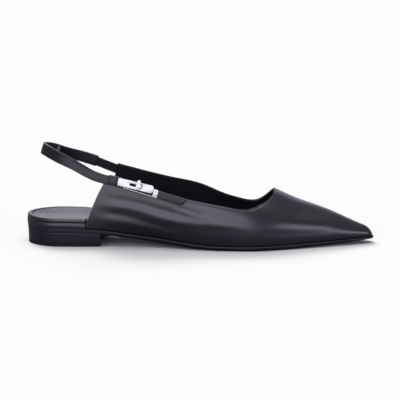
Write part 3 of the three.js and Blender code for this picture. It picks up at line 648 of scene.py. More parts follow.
def leather(name, dark, light, gloss, pebbles, depth, coat=0.0, wrinkle=0.5, clouds=30.0, shine=1.4):
    """A leather: its two tones, the range of its roughness, its grain and its wax."""
    made, tree, shader = new_finish(name, {"Coat Weight": coat, "Coat Roughness": 0.22, "IOR": shine})
    marks = add_node(tree, "Group", {"Clouds per metre": clouds}, node_tree=handling_group)
    grain = add_node(tree, "Group", {"Pebbles per metre": pebbles, "Wrinkle": wrinkle}, node_tree=grain_group)
    cloud = marks.outputs["Cloud"]
    duller = math_node(tree, "MULTIPLY", grain.outputs["Hollows"], 0.06)
    feed(tree, shader,
         Base_Color=two_tone(tree, cloud, dark, light),
         Roughness=math_node(tree, "ADD", ramp(tree, cloud, *gloss), duller),
         Normal=bumped(tree, grain.outputs["Height"], depth))
    return made


INK, INK_LIGHT = (0.0075, 0.0080, 0.0128), (0.0095, 0.0100, 0.0158)
calf = leather("black_calf", INK, INK_LIGHT, (0.25, 0.31), 1500.0, 0.018, shine=1.9)
# This strap leather is the black calf with a lower shine: painted shade, a darker copy that stands in for the
# dim reflections the strap, the tab and the fold get from how they face the light.
shaded_strap_calf = leather("shaded_black_strap_calf", INK, INK_LIGHT, (0.26, 0.34), 1500.0, 0.03, shine=1.55)
cut_edge = leather("inked_cut_edge", (0.004, 0.0043, 0.007), (0.006, 0.0064, 0.01), (0.5, 0.6), 2600.0, 0.01)
lining = leather("black_lining", (0.0065, 0.0063, 0.0095), (0.0085, 0.0083, 0.012), (0.55, 0.68),
                 2100.0, 0.02, shine=1.35)
sock = leather("seat_sock", (0.024, 0.024, 0.031), (0.033, 0.033, 0.042), (0.24, 0.32), 1900.0, 0.012,
               coat=0.4, shine=1.5)
suede = leather("grip_suede", (0.012, 0.012, 0.015), (0.028, 0.028, 0.033), (0.82, 0.95), 3200.0, 0.05)
edge_ink = leather("edge_ink", (0.011, 0.012, 0.019), (0.016, 0.017, 0.026), (0.34, 0.44), 1100.0, 0.012,
                   coat=0.3)
tread = leather("sole_tread", (0.02, 0.02, 0.023), (0.05, 0.048, 0.05), (0.5, 0.7), 900.0, 0.03, clouds=60.0)
leathers = (calf, shaded_strap_calf, cut_edge, lining, sock, suede, edge_ink, tread)
print("leathers:", ", ".join(finish.name for finish in leathers))

# %% Rubber, elastic, thread and steel
def rubber_finish():
    """Matt rubber with a rolled diamond pattern, as under a heel."""
    made, tree, shader = new_finish("lift_rubber", {"Base Color": (0.008, 0.008, 0.01, 1)})
    place = object_place(tree)
    heights = []
    for angle in (45, -45):
        turned = add_node(tree, "Mapping", {"Vector": place, "Rotation": (0, 0, math.radians(angle))})
        wave = add_node(tree, "TexWave", {"Vector": turned.outputs["Vector"], "Scale": 80.0})
        heights.append(wave.outputs["Fac"])
    feed(tree, shader,
         Roughness=ramp(tree, noise(tree, place, 300.0), 0.62, 0.8),
         Normal=bumped(tree, math_node(tree, "MINIMUM", *heights), 0.2))
    return made


def elastic_finish():
    """Elastic webbing: cords run along it and fine threads cross them, on the piece's own UV map."""
    made, tree, shader = new_finish("elastic_web", {"Roughness": 0.85})
    place = add_node(tree, "UVMap").outputs["UV"]
    cords, threads = (
        add_node(tree, "TexWave", {"Vector": place, "Scale": count / 3.1416},
                 bands_direction=way).outputs["Fac"]
        for way, count in (("X", 9.0), ("Y", 34.0)))
    height = math_node(tree, "ADD", cords, math_node(tree, "MULTIPLY", threads, 0.4))
    feed(tree, shader,
         Base_Color=two_tone(tree, cords, (0.006, 0.006, 0.007), (0.018, 0.018, 0.021)),
         Normal=bumped(tree, height, 0.25))
    return made


def steel_finish():
    """Bright plated steel: polished, with the faint drawn lines of the polishing wheel."""
    made, tree, shader = new_finish("bright_steel", {"Metallic": 1.0})
    place = object_place(tree)
    drawn = add_node(tree, "Mapping", {"Vector": place, "Scale": (0.06, 1, 1)}).outputs["Vector"]
    cloud = noise(tree, place, 500.0, 2.0)
    feed(tree, shader,
         Roughness=ramp(tree, noise(tree, drawn, 6000.0, 2.0), 0.11, 0.2),
         Base_Color=two_tone(tree, cloud, (0.64, 0.63, 0.60), (0.71, 0.70, 0.67)))
    return made


def thread_finish(name, dark, light):
    """Waxed thread, with its twist."""
    made, tree, shader = new_finish(name, {})
    twist = noise(tree, object_place(tree), 3500.0, 1.0)
    feed(tree, shader,
         Base_Color=two_tone(tree, twist, dark, light),
         Roughness=ramp(tree, twist, 0.42, 0.6))
    return made


rubber, elastic, steel = rubber_finish(), elastic_finish(), steel_finish()
thread = thread_finish("black_thread", (0.012, 0.012, 0.015), (0.035, 0.035, 0.042))
pale_edge = thread_finish("pale_raw_edge", (0.20, 0.20, 0.22), (0.33, 0.33, 0.36))
print("finishes:", len(bpy.data.materials))

# %% [markdown]
# ## The upper
# The vamp and both quarters are one skin. We lay a grid on each side of the last, from the sole up to
# the topline behind the throat and up to the ridge ahead of it, join the two along the ridge, and give
# the sheet its wall. Soft troughs and ridges run along the quarters and the vamp, where the empty shoe
# relaxes.

# %% Creases of the leather
CREASES = {
    # side: (the way's x and z from behind to the front), height (below 0 is a trough), half width, in mm
    -1: [
        (((62, 33.5), (67, 32.7), (87, 30), (106, 24.4), (124, 21.4), (145, 20.8), (172, 19.5)), 0.55, 3.4),
        (((64, 38), (84, 35.5), (104, 31), (124, 26.5)), -0.4, 2.6),
        (((60, 27), (84, 23.6), (104, 18), (122, 15.5)), -0.45, 3.0),
        (((62, 21), (88, 17.5), (112, 13)), 0.25, 2.6),
        (((118, 33), (128, 30.5), (140, 26.5)), -0.3, 1.6),
        (((122, 30), (134, 27), (148, 23.8)), 0.25, 1.9),
        (((146, 27), (158, 25), (172, 24)), -0.2, 2.6),
        (((192, 22), (214, 20.4), (236, 18)), 0.35, 3.4),
        (((182, 14), (212, 12.6), (240, 11.5)), -0.25, 2.4),
        (((206, 27), (218, 25.4), (232, 23)), -0.2, 3.4),
    ],
    1: [
        (((72, 38), (100, 34), (130, 28)), 0.4, 4.2),
        (((80, 28), (110, 24), (140, 19)), -0.35, 3.6),
        (((190, 21), (214, 19), (236, 16)), 0.3, 3.6),
    ],
}


def crease_height(side, x, z):
    """How far the leather stands out of the last's own shape."""
    total = np.zeros(np.broadcast(x, z).shape)
    for spots, height, width in CREASES[side]:
        way_x, way_z = np.array(spots, float).T
        u = (x - way_x[0]) / (way_x[-1] - way_x[0])
        middle = bent(way_x, way_z)(np.clip(x, way_x[0], way_x[-1]))
        fade = smoothstep(-0.12, 0.2, u) * smoothstep(1.12, 0.8, u)
        total = total + height * fade * np.exp(-(((z - middle) / width) ** 2))
    return total


print("creases:", {side: len(rows) for side, rows in CREASES.items()})

# %% Columns of the skin
OPEN_COLUMNS, VAMP_COLUMNS, FOOT_ROWS, ARCH_ROWS = 124, 96, 13, 33
SEAM_BELOW, SEAM_DEPTH = 1.5, 0.22   # the stitched line below the topline
SEAM_HALF_WIDTH = 0.35
THROAT_FOOT = THROAT_ALONG + 24      # the throat's column slants ahead, or it would run along the edge
SKIN_RADIUS = 45.0                   # about how far the skin is from the last's middle
TURN_IN, TURN_IN_DROP = 0.9, 0.26    # the leather rounds in and down where it goes under the foot


def height_share(turns, top_turn):
    """How far up its column a turn lies, from 0 at the sole to 1 at the edge."""
    return np.where(turns < 0, 3 * (turns + 1), 3 + 8 * turns / max(top_turn, 1e-6)) / 11


def column_turns(top):
    """Turns of one column: close together at the sole and at the edge."""
    foot = -1 + np.linspace(0, 1, FOOT_ROWS + 1)[:-1] ** 1.35
    up = np.linspace(0, 1, ARCH_ROWS + 1)
    return np.concatenate([foot, top * (1 - (1 - up) ** 1.5)])


def skin_columns(side, vamp_end, top_short=0.0):
    """x and turn of every vertex, column by column from the rear edge to the vamp's end."""
    _, _, bow = REAR[side]
    columns = []
    for share in np.linspace(0, 1, OPEN_COLUMNS + 1)[:-1]:
        top_x, top_turn = (float(c) for c in TOPLINES[side](share))
        turns = column_turns(top_turn)
        rise = height_share(turns, top_turn)
        lean = rise - bow * rise * (1 - rise) * (1 - share)
        columns.append((mix(mix(REAR_FOOT, THROAT_FOOT, share), top_x, lean), turns))
    for u in np.linspace(0, 1, VAMP_COLUMNS + 1):
        ahead = mix(u, math.sin(u * math.pi / 2), 0.8)
        turns = column_turns(90.0)
        foot, ridge = mix(THROAT_FOOT, vamp_end, ahead), mix(THROAT_ALONG, vamp_end, ahead)
        columns.append((mix(foot, ridge, height_share(turns, 90.0)), turns))
    xs, turns = (np.array([c[i] for c in columns]) for i in (0, 1))
    if top_short:
        tops = turns[:, -1:]
        shorter = tops - np.degrees(top_short / SKIN_RADIUS)
        open_part = np.arange(len(columns))[:, None] < OPEN_COLUMNS
        turns = np.where(open_part & (turns > 0), turns * shorter / tops, turns)
    return xs, turns


def skin_points(side, vamp_end, depth, top_short=0.0):
    """The skin's points, column by column, depth millimetres inside the outer face."""
    x, turns = skin_columns(side, vamp_end, top_short)
    point, normal = body_point(side, x, turns), body_normal(side, x, turns)
    z = point[..., 2]
    edge = np.linalg.norm(np.diff(point, axis=1), axis=-1)
    from_top = np.concatenate([np.cumsum(edge[:, ::-1], 1)[:, ::-1], np.zeros((len(x), 1))], 1)
    open_part = smoothstep(OPEN_COLUMNS + 8, OPEN_COLUMNS - 4, np.arange(len(x)))[:, None]
    out = crease_height(side, x, z) * smoothstep(1.5, 6.0, from_top) * smoothstep(0.5, 4.0, z - sole_top(x))
    out = out - SEAM_DEPTH * np.exp(-(((from_top - SEAM_BELOW) / SEAM_HALF_WIDTH) ** 2)) * open_part
    point = point + normal * (out - depth)[..., None]
    foot = np.clip(1 - (z - sole_top(x) - FIT_GAP) / TURN_IN, 0, 1) * (turns < 0)
    point[..., 1] -= side * TURN_IN * (1 - np.sqrt(1 - foot**2))
    point[..., 2] = np.maximum(point[..., 2] - TURN_IN_DROP * foot, sole_top(point[..., 0]) + 0.03)
    return point


# %% Leather of the upper
TIP = SHOE_LENGTH - FEATHER_INSET
LEATHER, LINING_FROM = 1.15, 1.2
LINING_SHORT, LINING_END = 0.5, SHOE_LENGTH - 13   # the lining stops below the topline and behind the tip


def turned_out(piece, side):
    """Turn all faces of one side together, so that they look away from the foot."""
    if np.mean([face.normal.y * side for face in piece.data.polygons]) < 0:
        edit(piece, bpy.ops.mesh.flip_normals)
    return piece


def both_sides(name, vamp_end, depth, top_short=0.0):
    """Lay both sides with their faces outwards, and join them along the ridge."""
    sides = [turned_out(laid_grid(f"{name}_{i}", skin_points(side, vamp_end, depth, top_short)), side)
             for i, side in enumerate((-1, 1))]
    only(sides[0])
    sides[1].select_set(True)
    bpy.ops.object.join()
    piece = named(name)
    edit(piece, merge(0.03 * MM))
    return piece


upper = both_sides("upper_leather", TIP, 0.0)
upper.data.materials.append(calf)
upper.data.materials.append(cut_edge)
modifier(upper, "SOLIDIFY", thickness=LEATHER * MM, offset=-1, material_offset_rim=1)
rounded_rims(upper, 0.45 * MM, 3, 55)
finished(upper, None, ("upper",))

# %% [markdown]
# ## The lining
# Thin black leather faces the inside. It ends just below the folded topline, so the upper's edge
# shows as a rounded lip all round the opening.

# %% Lining of the upper
inside = both_sides("upper_lining", LINING_END, LINING_FROM, LINING_SHORT)
modifier(inside, "SOLIDIFY", thickness=(UPPER_WALL - LINING_FROM) * MM, offset=-1)
finished(inside, lining)

# %% [markdown]
# ## The sole
# The outsole is a thin leather plate that follows the arch. Its edge is trimmed upright, with a
# small bevel below, and inked. We loft it through cross sections.

# %% Sections of the sole
def across(count):
    """Shares from -1 to 1, closer together near the ends."""
    u = np.linspace(-1, 1, count)
    return np.sign(u) * (1 - (1 - np.abs(u)) ** (4 / 3))


def ends_crowded(start, end, count, extra=()):
    """Stations along the shoe, close together at both rounded ends."""
    u = np.linspace(0, 1, count)
    x = mix(start, end, mix(u, (1 - np.cos(np.pi * u)) / 2, 0.92))
    return np.sort(np.concatenate([x, np.asarray(extra, float)]))


def section(x, half, rim, top, bottom, top_face=None, count=15):
    """One loop: the top face, the rim's (inset, height share) rows down one edge, below, and up again."""
    rim_in = np.minimum([r[0] for r in rim], half * 0.9)
    rim_z = bottom + (top - bottom) * np.array([r[1] for r in rim])
    flat = across(count)[1:-1] * (half - rim_in[0])
    up = top if top_face is None else top_face(flat / max(half, 1e-6))
    below = flat[::-1] / (half - rim_in[0]) * (half - rim_in[-1])
    y = np.concatenate([flat, half - rim_in, below, (rim_in - half)[::-1]])
    z = np.concatenate([np.broadcast_to(up, flat.shape), rim_z, np.full(flat.shape, bottom), rim_z[::-1]])
    return np.stack([np.full(y.shape, x), centre_line(x) + y, z], -1)


SOLE_RIM = np.array([(0.7, 1.0), (0.28, 0.985), (0.06, 0.92), (0.0, 0.82), (0.0, 0.5), (0.12, 0.42),
                     (1.05, 0.05), (1.3, 0.0)])
# Over the heel the edge is flush with the block below it.
HEEL_RIM = np.array([(0.7, 1.0), (0.4, 0.985), (0.26, 0.92), (0.22, 0.82), (0.22, 0.5), (0.22, 0.42),
                     (0.23, 0.05), (0.27, 0.0)])
END_GAP = 0.06               # a loft ends this near to a rounded end


def sole_section(x):
    """A cross section of the sole, whose edge goes over from the one rim to the other."""
    rim = mix(HEEL_RIM, SOLE_RIM, smoothstep(HEEL_LENGTH - 3, HEEL_LENGTH + 8, x))
    return section(x, float(half_width(x)), rim, float(sole_top(x)), float(sole_bottom(x)))


sole_loops = [sole_section(x) for x in ends_crowded(END_GAP, SHOE_LENGTH - END_GAP, 190)]
outsole = lofted("outsole_plate", sole_loops)
finished(outsole, edge_ink, ("outsole",), smooth=32)
second_finish(outsole, tread, lambda face: face.normal.z < -0.8)

# %% [markdown]
# ## The heel
# A low block with a hollow breast stands on a thin rubber top lift. By hand it would be drawn as a
# circle pulled to the heel's plan, filled, and extruded up, and that is how we make it.

# %% Heel block and top lift
def heel_outline(inset):
    """The heel's plan: round behind, and hollow across the breast."""
    corner = HEEL_LENGTH - inset / 2
    side = mix(inset + 0.02, corner, 1 - np.cos(np.linspace(0, np.pi / 2, 60)))
    u = np.linspace(0, 1, 26)[1:-1]
    half = float(half_width(corner, inset))
    hollow = corner - BREAST_HOLLOW * 4 * u * (1 - u)
    breast = np.stack([hollow, centre_line(corner) + mix(half, -half, u)], -1)
    left, right = (np.stack([side, centre_line(side) + way * half_width(side, inset)], -1) for way in (-1, 1))
    return np.concatenate([left[::-1], right, breast])


def heel_slice(name, low, top, count, rim):
    """Extrude the plan from the level low to the height top(x) in count levels, and round its rims."""
    rows = []
    for u in np.linspace(0, 1, count):
        out = mix(low, float(top(HEEL_LENGTH)), u) / HEEL_HEIGHT
        plan = heel_outline(HEEL_INSET + HEEL_TAPER * (1 - out))
        rows.append(np.column_stack([plan, mix(low, top(plan[:, 0]), u)]))
    deselect()
    bpy.ops.mesh.primitive_circle_add(vertices=len(rows[0]), radius=0.03, fill_type="NGON")
    piece = named(name)
    bpy.ops.object.mode_set(mode="EDIT")
    bpy.ops.mesh.select_all(action="SELECT")
    for _ in rows[1:]:
        bpy.ops.mesh.extrude_region_move(TRANSFORM_OT_translate={"value": (0, 0, 0.001)})
    bpy.ops.object.mode_set(mode="OBJECT")
    lay(piece, np.concatenate(rows))
    edit(piece, outward)
    rounded_rims(piece, rim * MM, 2, 60)
    return piece


lift = heel_slice("heel_lift", 0.0, lambda x: np.full(np.shape(x), TOP_LIFT), 2, 0.22)
finished(lift, rubber, ("heel_top_lift",))
block = heel_slice("heel_stack", TOP_LIFT + 0.12, lambda x: sole_bottom(x) - 0.02, 9, 0.06)
finished(block, edge_ink, ("heel_block",))

# %% [markdown]
# ## The covered board and the padded sock
# Round the open heel the insole board shows as a band, wrapped in the upper's leather, up to where
# the quarter begins. The sock on it is padded: its rim is full, a sewn channel runs inside
# it, and the seat is dished for the heel.

# %% Wrapped board
BOARD_STEP = (REAR_FOOT, REAR_FOOT + 0.4)   # where the band goes in under the quarter
THIN_END = 0.4 * SHOE_LENGTH
SEAT = steady(np.array([(0, 0), (0.035, 0.75), (0.1, 1), (0.2, 0.8), (0.34, 0.25), (0.5, 0), (1, 0)]))


def thin_out(x):
    """From 0 at the open heel to 1 where board and sock are thin."""
    return smoothstep(BOARD_STEP[0], THIN_END, x)


def board_set_in(x):
    """How far the board's edge is inside the sole's edge."""
    inner = FEATHER_INSET + UPPER_WALL + FIT_GAP
    return np.interp(x, BOARD_STEP, (-BOARD_OVERHANG, inner))


def board_top(x):
    return sole_top(x) + FIT_GAP + mix(BOARD_THICKNESS, BOARD_FORWARD, thin_out(x))


BOARD_RIM = [(1.5, 1.0), (0.7, 0.965), (0.22, 0.86), (0.0, 0.7), (0.0, 0.42), (0.1, 0.16), (0.4, 0.0)]


def board_section(x):
    half = float(half_width(x, board_set_in(x)))
    return section(x, half, BOARD_RIM, float(board_top(x)), float(sole_top(x)) + 0.04)


board_x = ends_crowded(0.05 - BOARD_OVERHANG, SHOE_LENGTH - BOARD_SHORT, 150, BOARD_STEP)
board = lofted("wrapped_board", [board_section(x) for x in board_x])
finished(board, calf, ("insole_board",), smooth=50)

# %% Padded sock
SOCK_PROFILE = [(0.9, 0.97), (0.45, 0.86), (0.12, 0.62), (0.0, 0.36), (0.12, 0.12), (0.45, 0.0)]
CHANNEL_IN = 3.4             # the sewn channel runs this far inside the sock's edge
WRAP_RING = 1.1              # the board's black wrap shows this wide round the sock


def sock_section(x):
    half = float(half_width(x, board_set_in(x) + SOCK_INSET))
    under = float(board_top(x)) + 0.06
    rim = float(mix(SOCK_RIM, SOCK_FORWARD, thin_out(x))) + 0.2

    def face(u):
        dish = SEAT_DISH * SEAT(x / SHOE_LENGTH) * (1 - u * u) ** 2
        ends = min(x + 0.2, SHOE_LENGTH - BOARD_SHORT - x) * 0.9
        inward = np.minimum((1 - np.abs(u)) * half, ends)
        channel = 0.6 * np.exp(-(((inward - CHANNEL_IN) / 0.5) ** 2))
        puff = 0.35 * smoothstep(0, 1.6, inward) * smoothstep(CHANNEL_IN, 1.6, inward)
        crown = 0.3 * smoothstep(CHANNEL_IN, CHANNEL_IN + 6, inward) * (1 - SEAT(x / SHOE_LENGTH))
        return under + rim - 0.05 - dish - channel + puff + crown

    return section(x, half, SOCK_PROFILE, under + rim, under, face, 61)


sock_x = ends_crowded(SOCK_INSET - BOARD_OVERHANG + 0.05, SHOE_LENGTH - BOARD_SHORT, 190, BOARD_STEP)
sock_pad = lofted("padded_sock", [sock_section(x) for x in sock_x])
finished(sock_pad, sock, ("footbed",), smooth=60)


def on_ring(face):
    """Whether a face is in the wrap's ring round the sock."""
    x, y = face.center.x / MM + HEEL_LENGTH / 2, face.center.y / MM
    ring = float(half_width(x, board_set_in(x) + SOCK_INSET + WRAP_RING)) if x > WRAP_RING else 0.0
    return abs(y - float(centre_line(x))) > ring


second_finish(sock_pad, calf, on_ring)

# %% [markdown]
# ## The clasp's place
# The clasp lies flat on the outer quarter. Its own frame runs forward, up and out, and the pieces of
# the clasp are drawn in it.

# %% Frame of the clasp
TAB_WIDTH, TAB_THICKNESS, TAB_DROP, TAB_END, TAB_SLANT = 6.3, 1.6, 3.0, 125.4, 0.7
CLASP_ALONG = 88.0
BASE_LENGTH, BASE_WIDTH, BASE_RAISE, BASE_THICKNESS, BASE_BACK = 27.0, 6.2, 0.7, 1.0, 9.5
HASP_LENGTH, HASP_WIDTH, HASP_THICKNESS, HASP_CHAMFER = 28.0, 5.8, 1.1, 1.9
HASP_RAISE, HASP_GAP, HASP_TILT, HASP_BACK, HASP_TUCK = 2.6, 0.6, math.radians(3.5), 14.3, 2.5
POST_ALONG, SLOT_WIDTH, SLOT_BACK = 2.3, 2.2, 7.4
BOSS_RADIUS, BOSS_CLEAR, BOSS_LIFT, NECK_RADIUS = 2.1, 0.35, 0.4, 0.65
THUMB_REACH, THUMB_WIDTH, THUMB_THICKNESS, THUMB_LEAN = 4.7, 2.3, 1.3, math.radians(8)
FOLD_LENGTH, FOLD_WIDTH, FOLD_THICKNESS = 7.6, 6.8, 1.1


def tab_middle(x):
    return topline_height(-1, x) - TAB_DROP


def outer_skin(x, z, out):
    """A point above the outer quarter's skin."""
    turn_there = turn_at_height(x, z)
    return body_point(-1, x, turn_there) + body_normal(-1, x, turn_there) * np.asarray(out)[..., None]


clasp_from, clasp_to = CLASP_ALONG - HASP_BACK - FOLD_LENGTH, CLASP_ALONG - BASE_BACK + BASE_LENGTH
rear_spot, front_spot = (outer_skin(x, tab_middle(x), 0.0) for x in (clasp_from, clasp_to))
forward = unit(front_spot - rear_spot)
out_way = body_normal(-1, CLASP_ALONG, turn_at_height(CLASP_ALONG, tab_middle(CLASP_ALONG)))
out_way = unit(out_way - forward * (out_way @ forward))
up_way = unit(np.cross(out_way, forward))
clasp_spot = outer_skin(CLASP_ALONG, tab_middle(CLASP_ALONG), 0.0)
bumps = [float((outer_skin(x, tab_middle(x) + s * BASE_WIDTH / 2, 0.0) - clasp_spot) @ out_way)
         for x in np.linspace(clasp_from, clasp_to, 17) for s in (-1, 0, 1)]
stand_off = max(0.0, *bumps)   # the flat plates rest on the highest spot of the skin under them
clasp_frame = np.eye(4)
clasp_frame[:3, :3] = np.stack([forward, up_way, out_way], 1)
clasp_frame[:3, 3] = clasp_spot + out_way * stand_off


def turned_frame(angle):
    """The clasp's frame, turned about the post."""
    table = np.eye(4)
    table[:2, :2] = [[math.cos(angle), -math.sin(angle)], [math.sin(angle), math.cos(angle)]]
    table[:2, 3] = POST_ALONG, HASP_RAISE
    return clasp_frame @ table


hasp_frame, toggle_frame = turned_frame(HASP_TILT), turned_frame(THUMB_LEAN)
TAB_FACE = FIT_GAP + TAB_THICKNESS
BASE_FACE = TAB_FACE + FIT_GAP + BASE_THICKNESS
HASP_UNDER = BASE_FACE + HASP_GAP
HASP_FACE = HASP_UNDER + HASP_THICKNESS
HASP_REAR = -HASP_BACK - POST_ALONG
STRAP_MIDDLE = HASP_UNDER - FIT_GAP - 1.0
print("clasp at", clasp_frame[:3, 3].round(1), "stands off", round(stand_off, 2), "mm")


def in_frame(points, place):
    """Points of a clasp frame on the shoe, in millimetres."""
    points = np.asarray(points, float)
    return points @ place[:3, :3].T + place[:3, 3]


def put(piece, place, moved=(0, 0, 0)):
    """Put a piece that was drawn in a clasp frame, one unit a millimetre, on the shoe."""
    co = np.empty(len(piece.data.vertices) * 3, np.float32)
    piece.data.vertices.foreach_get("co", co)
    lay(piece, in_frame(co.reshape(-1, 3) + moved, place))


# %% [markdown]
# ## The leather tab
# A strip of the upper's leather carries the clasp and runs on along the quarter, to a slanted, rounded
# end. It is laid on the quarter's skin, padded a little, and stitched round its edge.

# %% Tab on the quarter
TAB_START = REAR[-1][0] + 2.2   # just ahead of the quarter's rear corner


def tab_rows():
    """Loops across the tab, from behind the base plate to its front end."""
    profile = [(-0.5, 0.0), (-0.5, 0.6), (-0.488, 0.86), (-0.45, 0.98), (-0.39, 1.0), (-0.33, 0.985)]
    middle = [(v, 1.0 + 0.12 * (1 - (v / 0.3) ** 2)) for v in np.linspace(-0.26, 0.26, 9)]
    under = [(v, None) for v in np.linspace(0.4, -0.4, 5)]
    profile = [*profile, *middle, *[(-v, t) for v, t in profile[::-1]], *under]
    rounding = 0.9 + 0.1 * np.sin(np.linspace(0, np.pi / 2, 16))[1:]
    stations = np.concatenate([np.linspace(0, 0.9, 56), rounding])
    loops = []
    for u in stations:
        closing = max(0.0, (u - 0.93) / 0.07)
        round_end = math.sqrt(max(1e-4, 1 - closing**2 * 0.75))
        low = 0.6 + 0.4 * round_end
        loop = []
        for v, t in profile:
            wide = v * TAB_WIDTH * round_end
            x = mix(TAB_START, TAB_END + TAB_SLANT * wide, u)
            if t is None:
                out = -0.1
            else:
                wave = 0.18 * math.sin(x * 0.9) * smoothstep(112, 118, x) if t > 0.9 else 0.0
                out = FIT_GAP * min(t * 4, 1) + TAB_THICKNESS * t * low + wave - 0.12 * (t < 0.1)
            loop.append(outer_skin(x, tab_middle(x) + wide, out))
        loops.append(loop)
    return np.array(loops)


tab = lofted("tab_leather", tab_rows())
finished(tab, shaded_strap_calf, ("clasp_tab",), smooth=50)

# %% [markdown]
# ## The steel of the clasp
# The base plate is a bar with cut corners. It is drawn as a plane, its corners are cut by a vertex
# bevel, it is extruded to its thickness, and its rims are softened. The steel pieces are drawn large,
# with one unit for a millimetre, because cuts through pieces this small go wrong in metres.

# %% A bar with cut corners
def cut_bar(name, start, end, width, corners, thickness, under, rim):
    """A flat bar in a clasp frame: corners gives how much is cut off behind and in front."""
    deselect()
    bpy.ops.mesh.primitive_plane_add(size=1)
    piece = named(name)
    for vertex in piece.data.vertices:
        vertex.co = (end if vertex.co.x > 0 else start, math.copysign(width / 2, vertex.co.y), under)
    middle_x = (start + end) / 2
    bpy.ops.object.mode_set(mode="EDIT")
    bpy.ops.mesh.select_mode(type="VERT")
    for front, cut_off in zip((False, True), corners):
        bpy.ops.mesh.select_all(action="DESELECT")
        bpy.ops.object.mode_set(mode="OBJECT")
        for vertex in piece.data.vertices:
            vertex.select = (vertex.co.x > middle_x) == front
        bpy.ops.object.mode_set(mode="EDIT")
        bpy.ops.mesh.bevel(
            offset=cut_off * math.sqrt(0.5), offset_type="OFFSET", affect="VERTICES", segments=1)
    bpy.ops.mesh.select_all(action="SELECT")
    bpy.ops.mesh.extrude_region_move(TRANSFORM_OT_translate={"value": (0, 0, thickness)})
    bpy.ops.object.mode_set(mode="OBJECT")
    edit(piece, outward)
    if rim:
        rounded_rims(piece, rim, 3, 30)
    return piece


PLATE_LIFT = 0.1             # the base plate lies this far above the tab
base_plate = cut_bar("base_steel", -BASE_BACK, BASE_LENGTH - BASE_BACK, BASE_WIDTH, (0.4, 0.6),
                     BASE_THICKNESS, TAB_FACE + PLATE_LIFT, 0.2)
put(base_plate, clasp_frame, (0, BASE_RAISE, 0))
finished(base_plate, steel, ("base_plate",), smooth=30)

# %% Dark sheet on the base plate: painted shade under the hasp and in its slot
slot_shade_sheet = cut_bar("painted_slot_shade", 0.9 - BASE_BACK, BASE_LENGTH - BASE_BACK - 3.6, BASE_WIDTH - 1.3, (0.4, 0.4),
                0.16, BASE_FACE + 0.06, 0)
put(slot_shade_sheet, clasp_frame, (0, BASE_RAISE + 0.1, 0))
finished(slot_shade_sheet, lining, smooth=30)

# %% Rivets of the base plate
def rivet(name, along, up):
    """A low domed rivet head: a ball, squashed, with its lower half cut away."""
    deselect()
    bpy.ops.mesh.primitive_uv_sphere_add(segments=24, ring_count=12, radius=0.62)
    piece = named(name)
    edit(piece,
         lambda: bpy.ops.mesh.bisect(
             plane_co=(0, 0, 0), plane_no=(0, 0, 1), clear_inner=True, use_fill=True),
         lambda: bpy.ops.transform.resize(value=(1, 1, 0.45)))
    put(piece, clasp_frame, (along, up, TAB_FACE + PLATE_LIFT + BASE_THICKNESS))
    return finished(piece, steel, smooth=50)


for i, up in enumerate((BASE_RAISE - 1.6, BASE_RAISE + 1.6)):
    rivet(f"rivet_{i + 1}", BASE_LENGTH - BASE_BACK - 1.5, up)

# %% Hasp plate with its keyhole
def cut(piece, tool, operation="DIFFERENCE"):
    """Boolean with a tool that is then removed."""
    modifier(piece, "BOOLEAN", object=tool, operation=operation, solver="EXACT")
    bpy.data.objects.remove(tool)


def cylinder(radius, low, high, x=0.0, sides=64):
    """An upright cylinder from one height to another."""
    deselect()
    bpy.ops.mesh.primitive_cylinder_add(
        vertices=sides, radius=radius, depth=high - low, location=(x, 0, (low + high) / 2))
    bpy.ops.object.transform_apply(location=True, rotation=False, scale=False)
    return bpy.context.object


hasp_plate = cut_bar("hasp_steel", HASP_REAR, HASP_REAR + HASP_LENGTH, HASP_WIDTH, (0.5, HASP_CHAMFER),
                     HASP_THICKNESS, HASP_UNDER, 0)
half_slot = SLOT_WIDTH / 2
cut(hasp_plate, cylinder(BOSS_RADIUS + BOSS_CLEAR, HASP_UNDER - 1, HASP_FACE + 1))
cut(hasp_plate, cylinder(half_slot, HASP_UNDER - 1, HASP_FACE + 1, half_slot - SLOT_BACK, sides=40))
cut(hasp_plate, cut_bar("slot_tool", half_slot - SLOT_BACK, 0, SLOT_WIDTH, (0.001, 0.001),
                        HASP_THICKNESS + 2, HASP_UNDER - 1, 0))
rounded_rims(hasp_plate, 0.26, 3, 35)
put(hasp_plate, hasp_frame)
finished(hasp_plate, steel, ("hasp_plate",), smooth=30)

# %% [markdown]
# ## The turning post
# A thin neck carries a round boss, and a flat thumb piece grows out of the boss. It is drawn in its
# own frame, turned a little about its neck, and hangs on a body of its own.

# %% Boss, thumb piece and neck
boss_under = HASP_FACE + BOSS_LIFT
cylinder(BOSS_RADIUS, boss_under, boss_under + THUMB_THICKNESS, sides=72)
post = named("turning_post")
thumb_bar = cut_bar("thumb_tool", -THUMB_WIDTH / 2, THUMB_WIDTH / 2, THUMB_REACH, (0.45, 0.45),
                    THUMB_THICKNESS - 0.15, boss_under + 0.05, 0)
thumb_bar.data.transform(Matrix.Translation((0, THUMB_REACH / 2, 0)))
cut(post, thumb_bar, "UNION")
cut(post, cylinder(NECK_RADIUS, BASE_FACE + 0.1, boss_under + 0.3, sides=32), "UNION")
rounded_rims(post, 0.3, 4, 40)
put(post, toggle_frame)
finished(post, steel, ("turn_toggle",), body="toggle", smooth=30)

# %% [markdown]
# ## The sling strap
# A strip of folded leather runs from under the hasp plate round the heel to the elastic. It is a
# rounded band on a smooth way, and it turns from lying on the quarter to leaning in at the ankle.

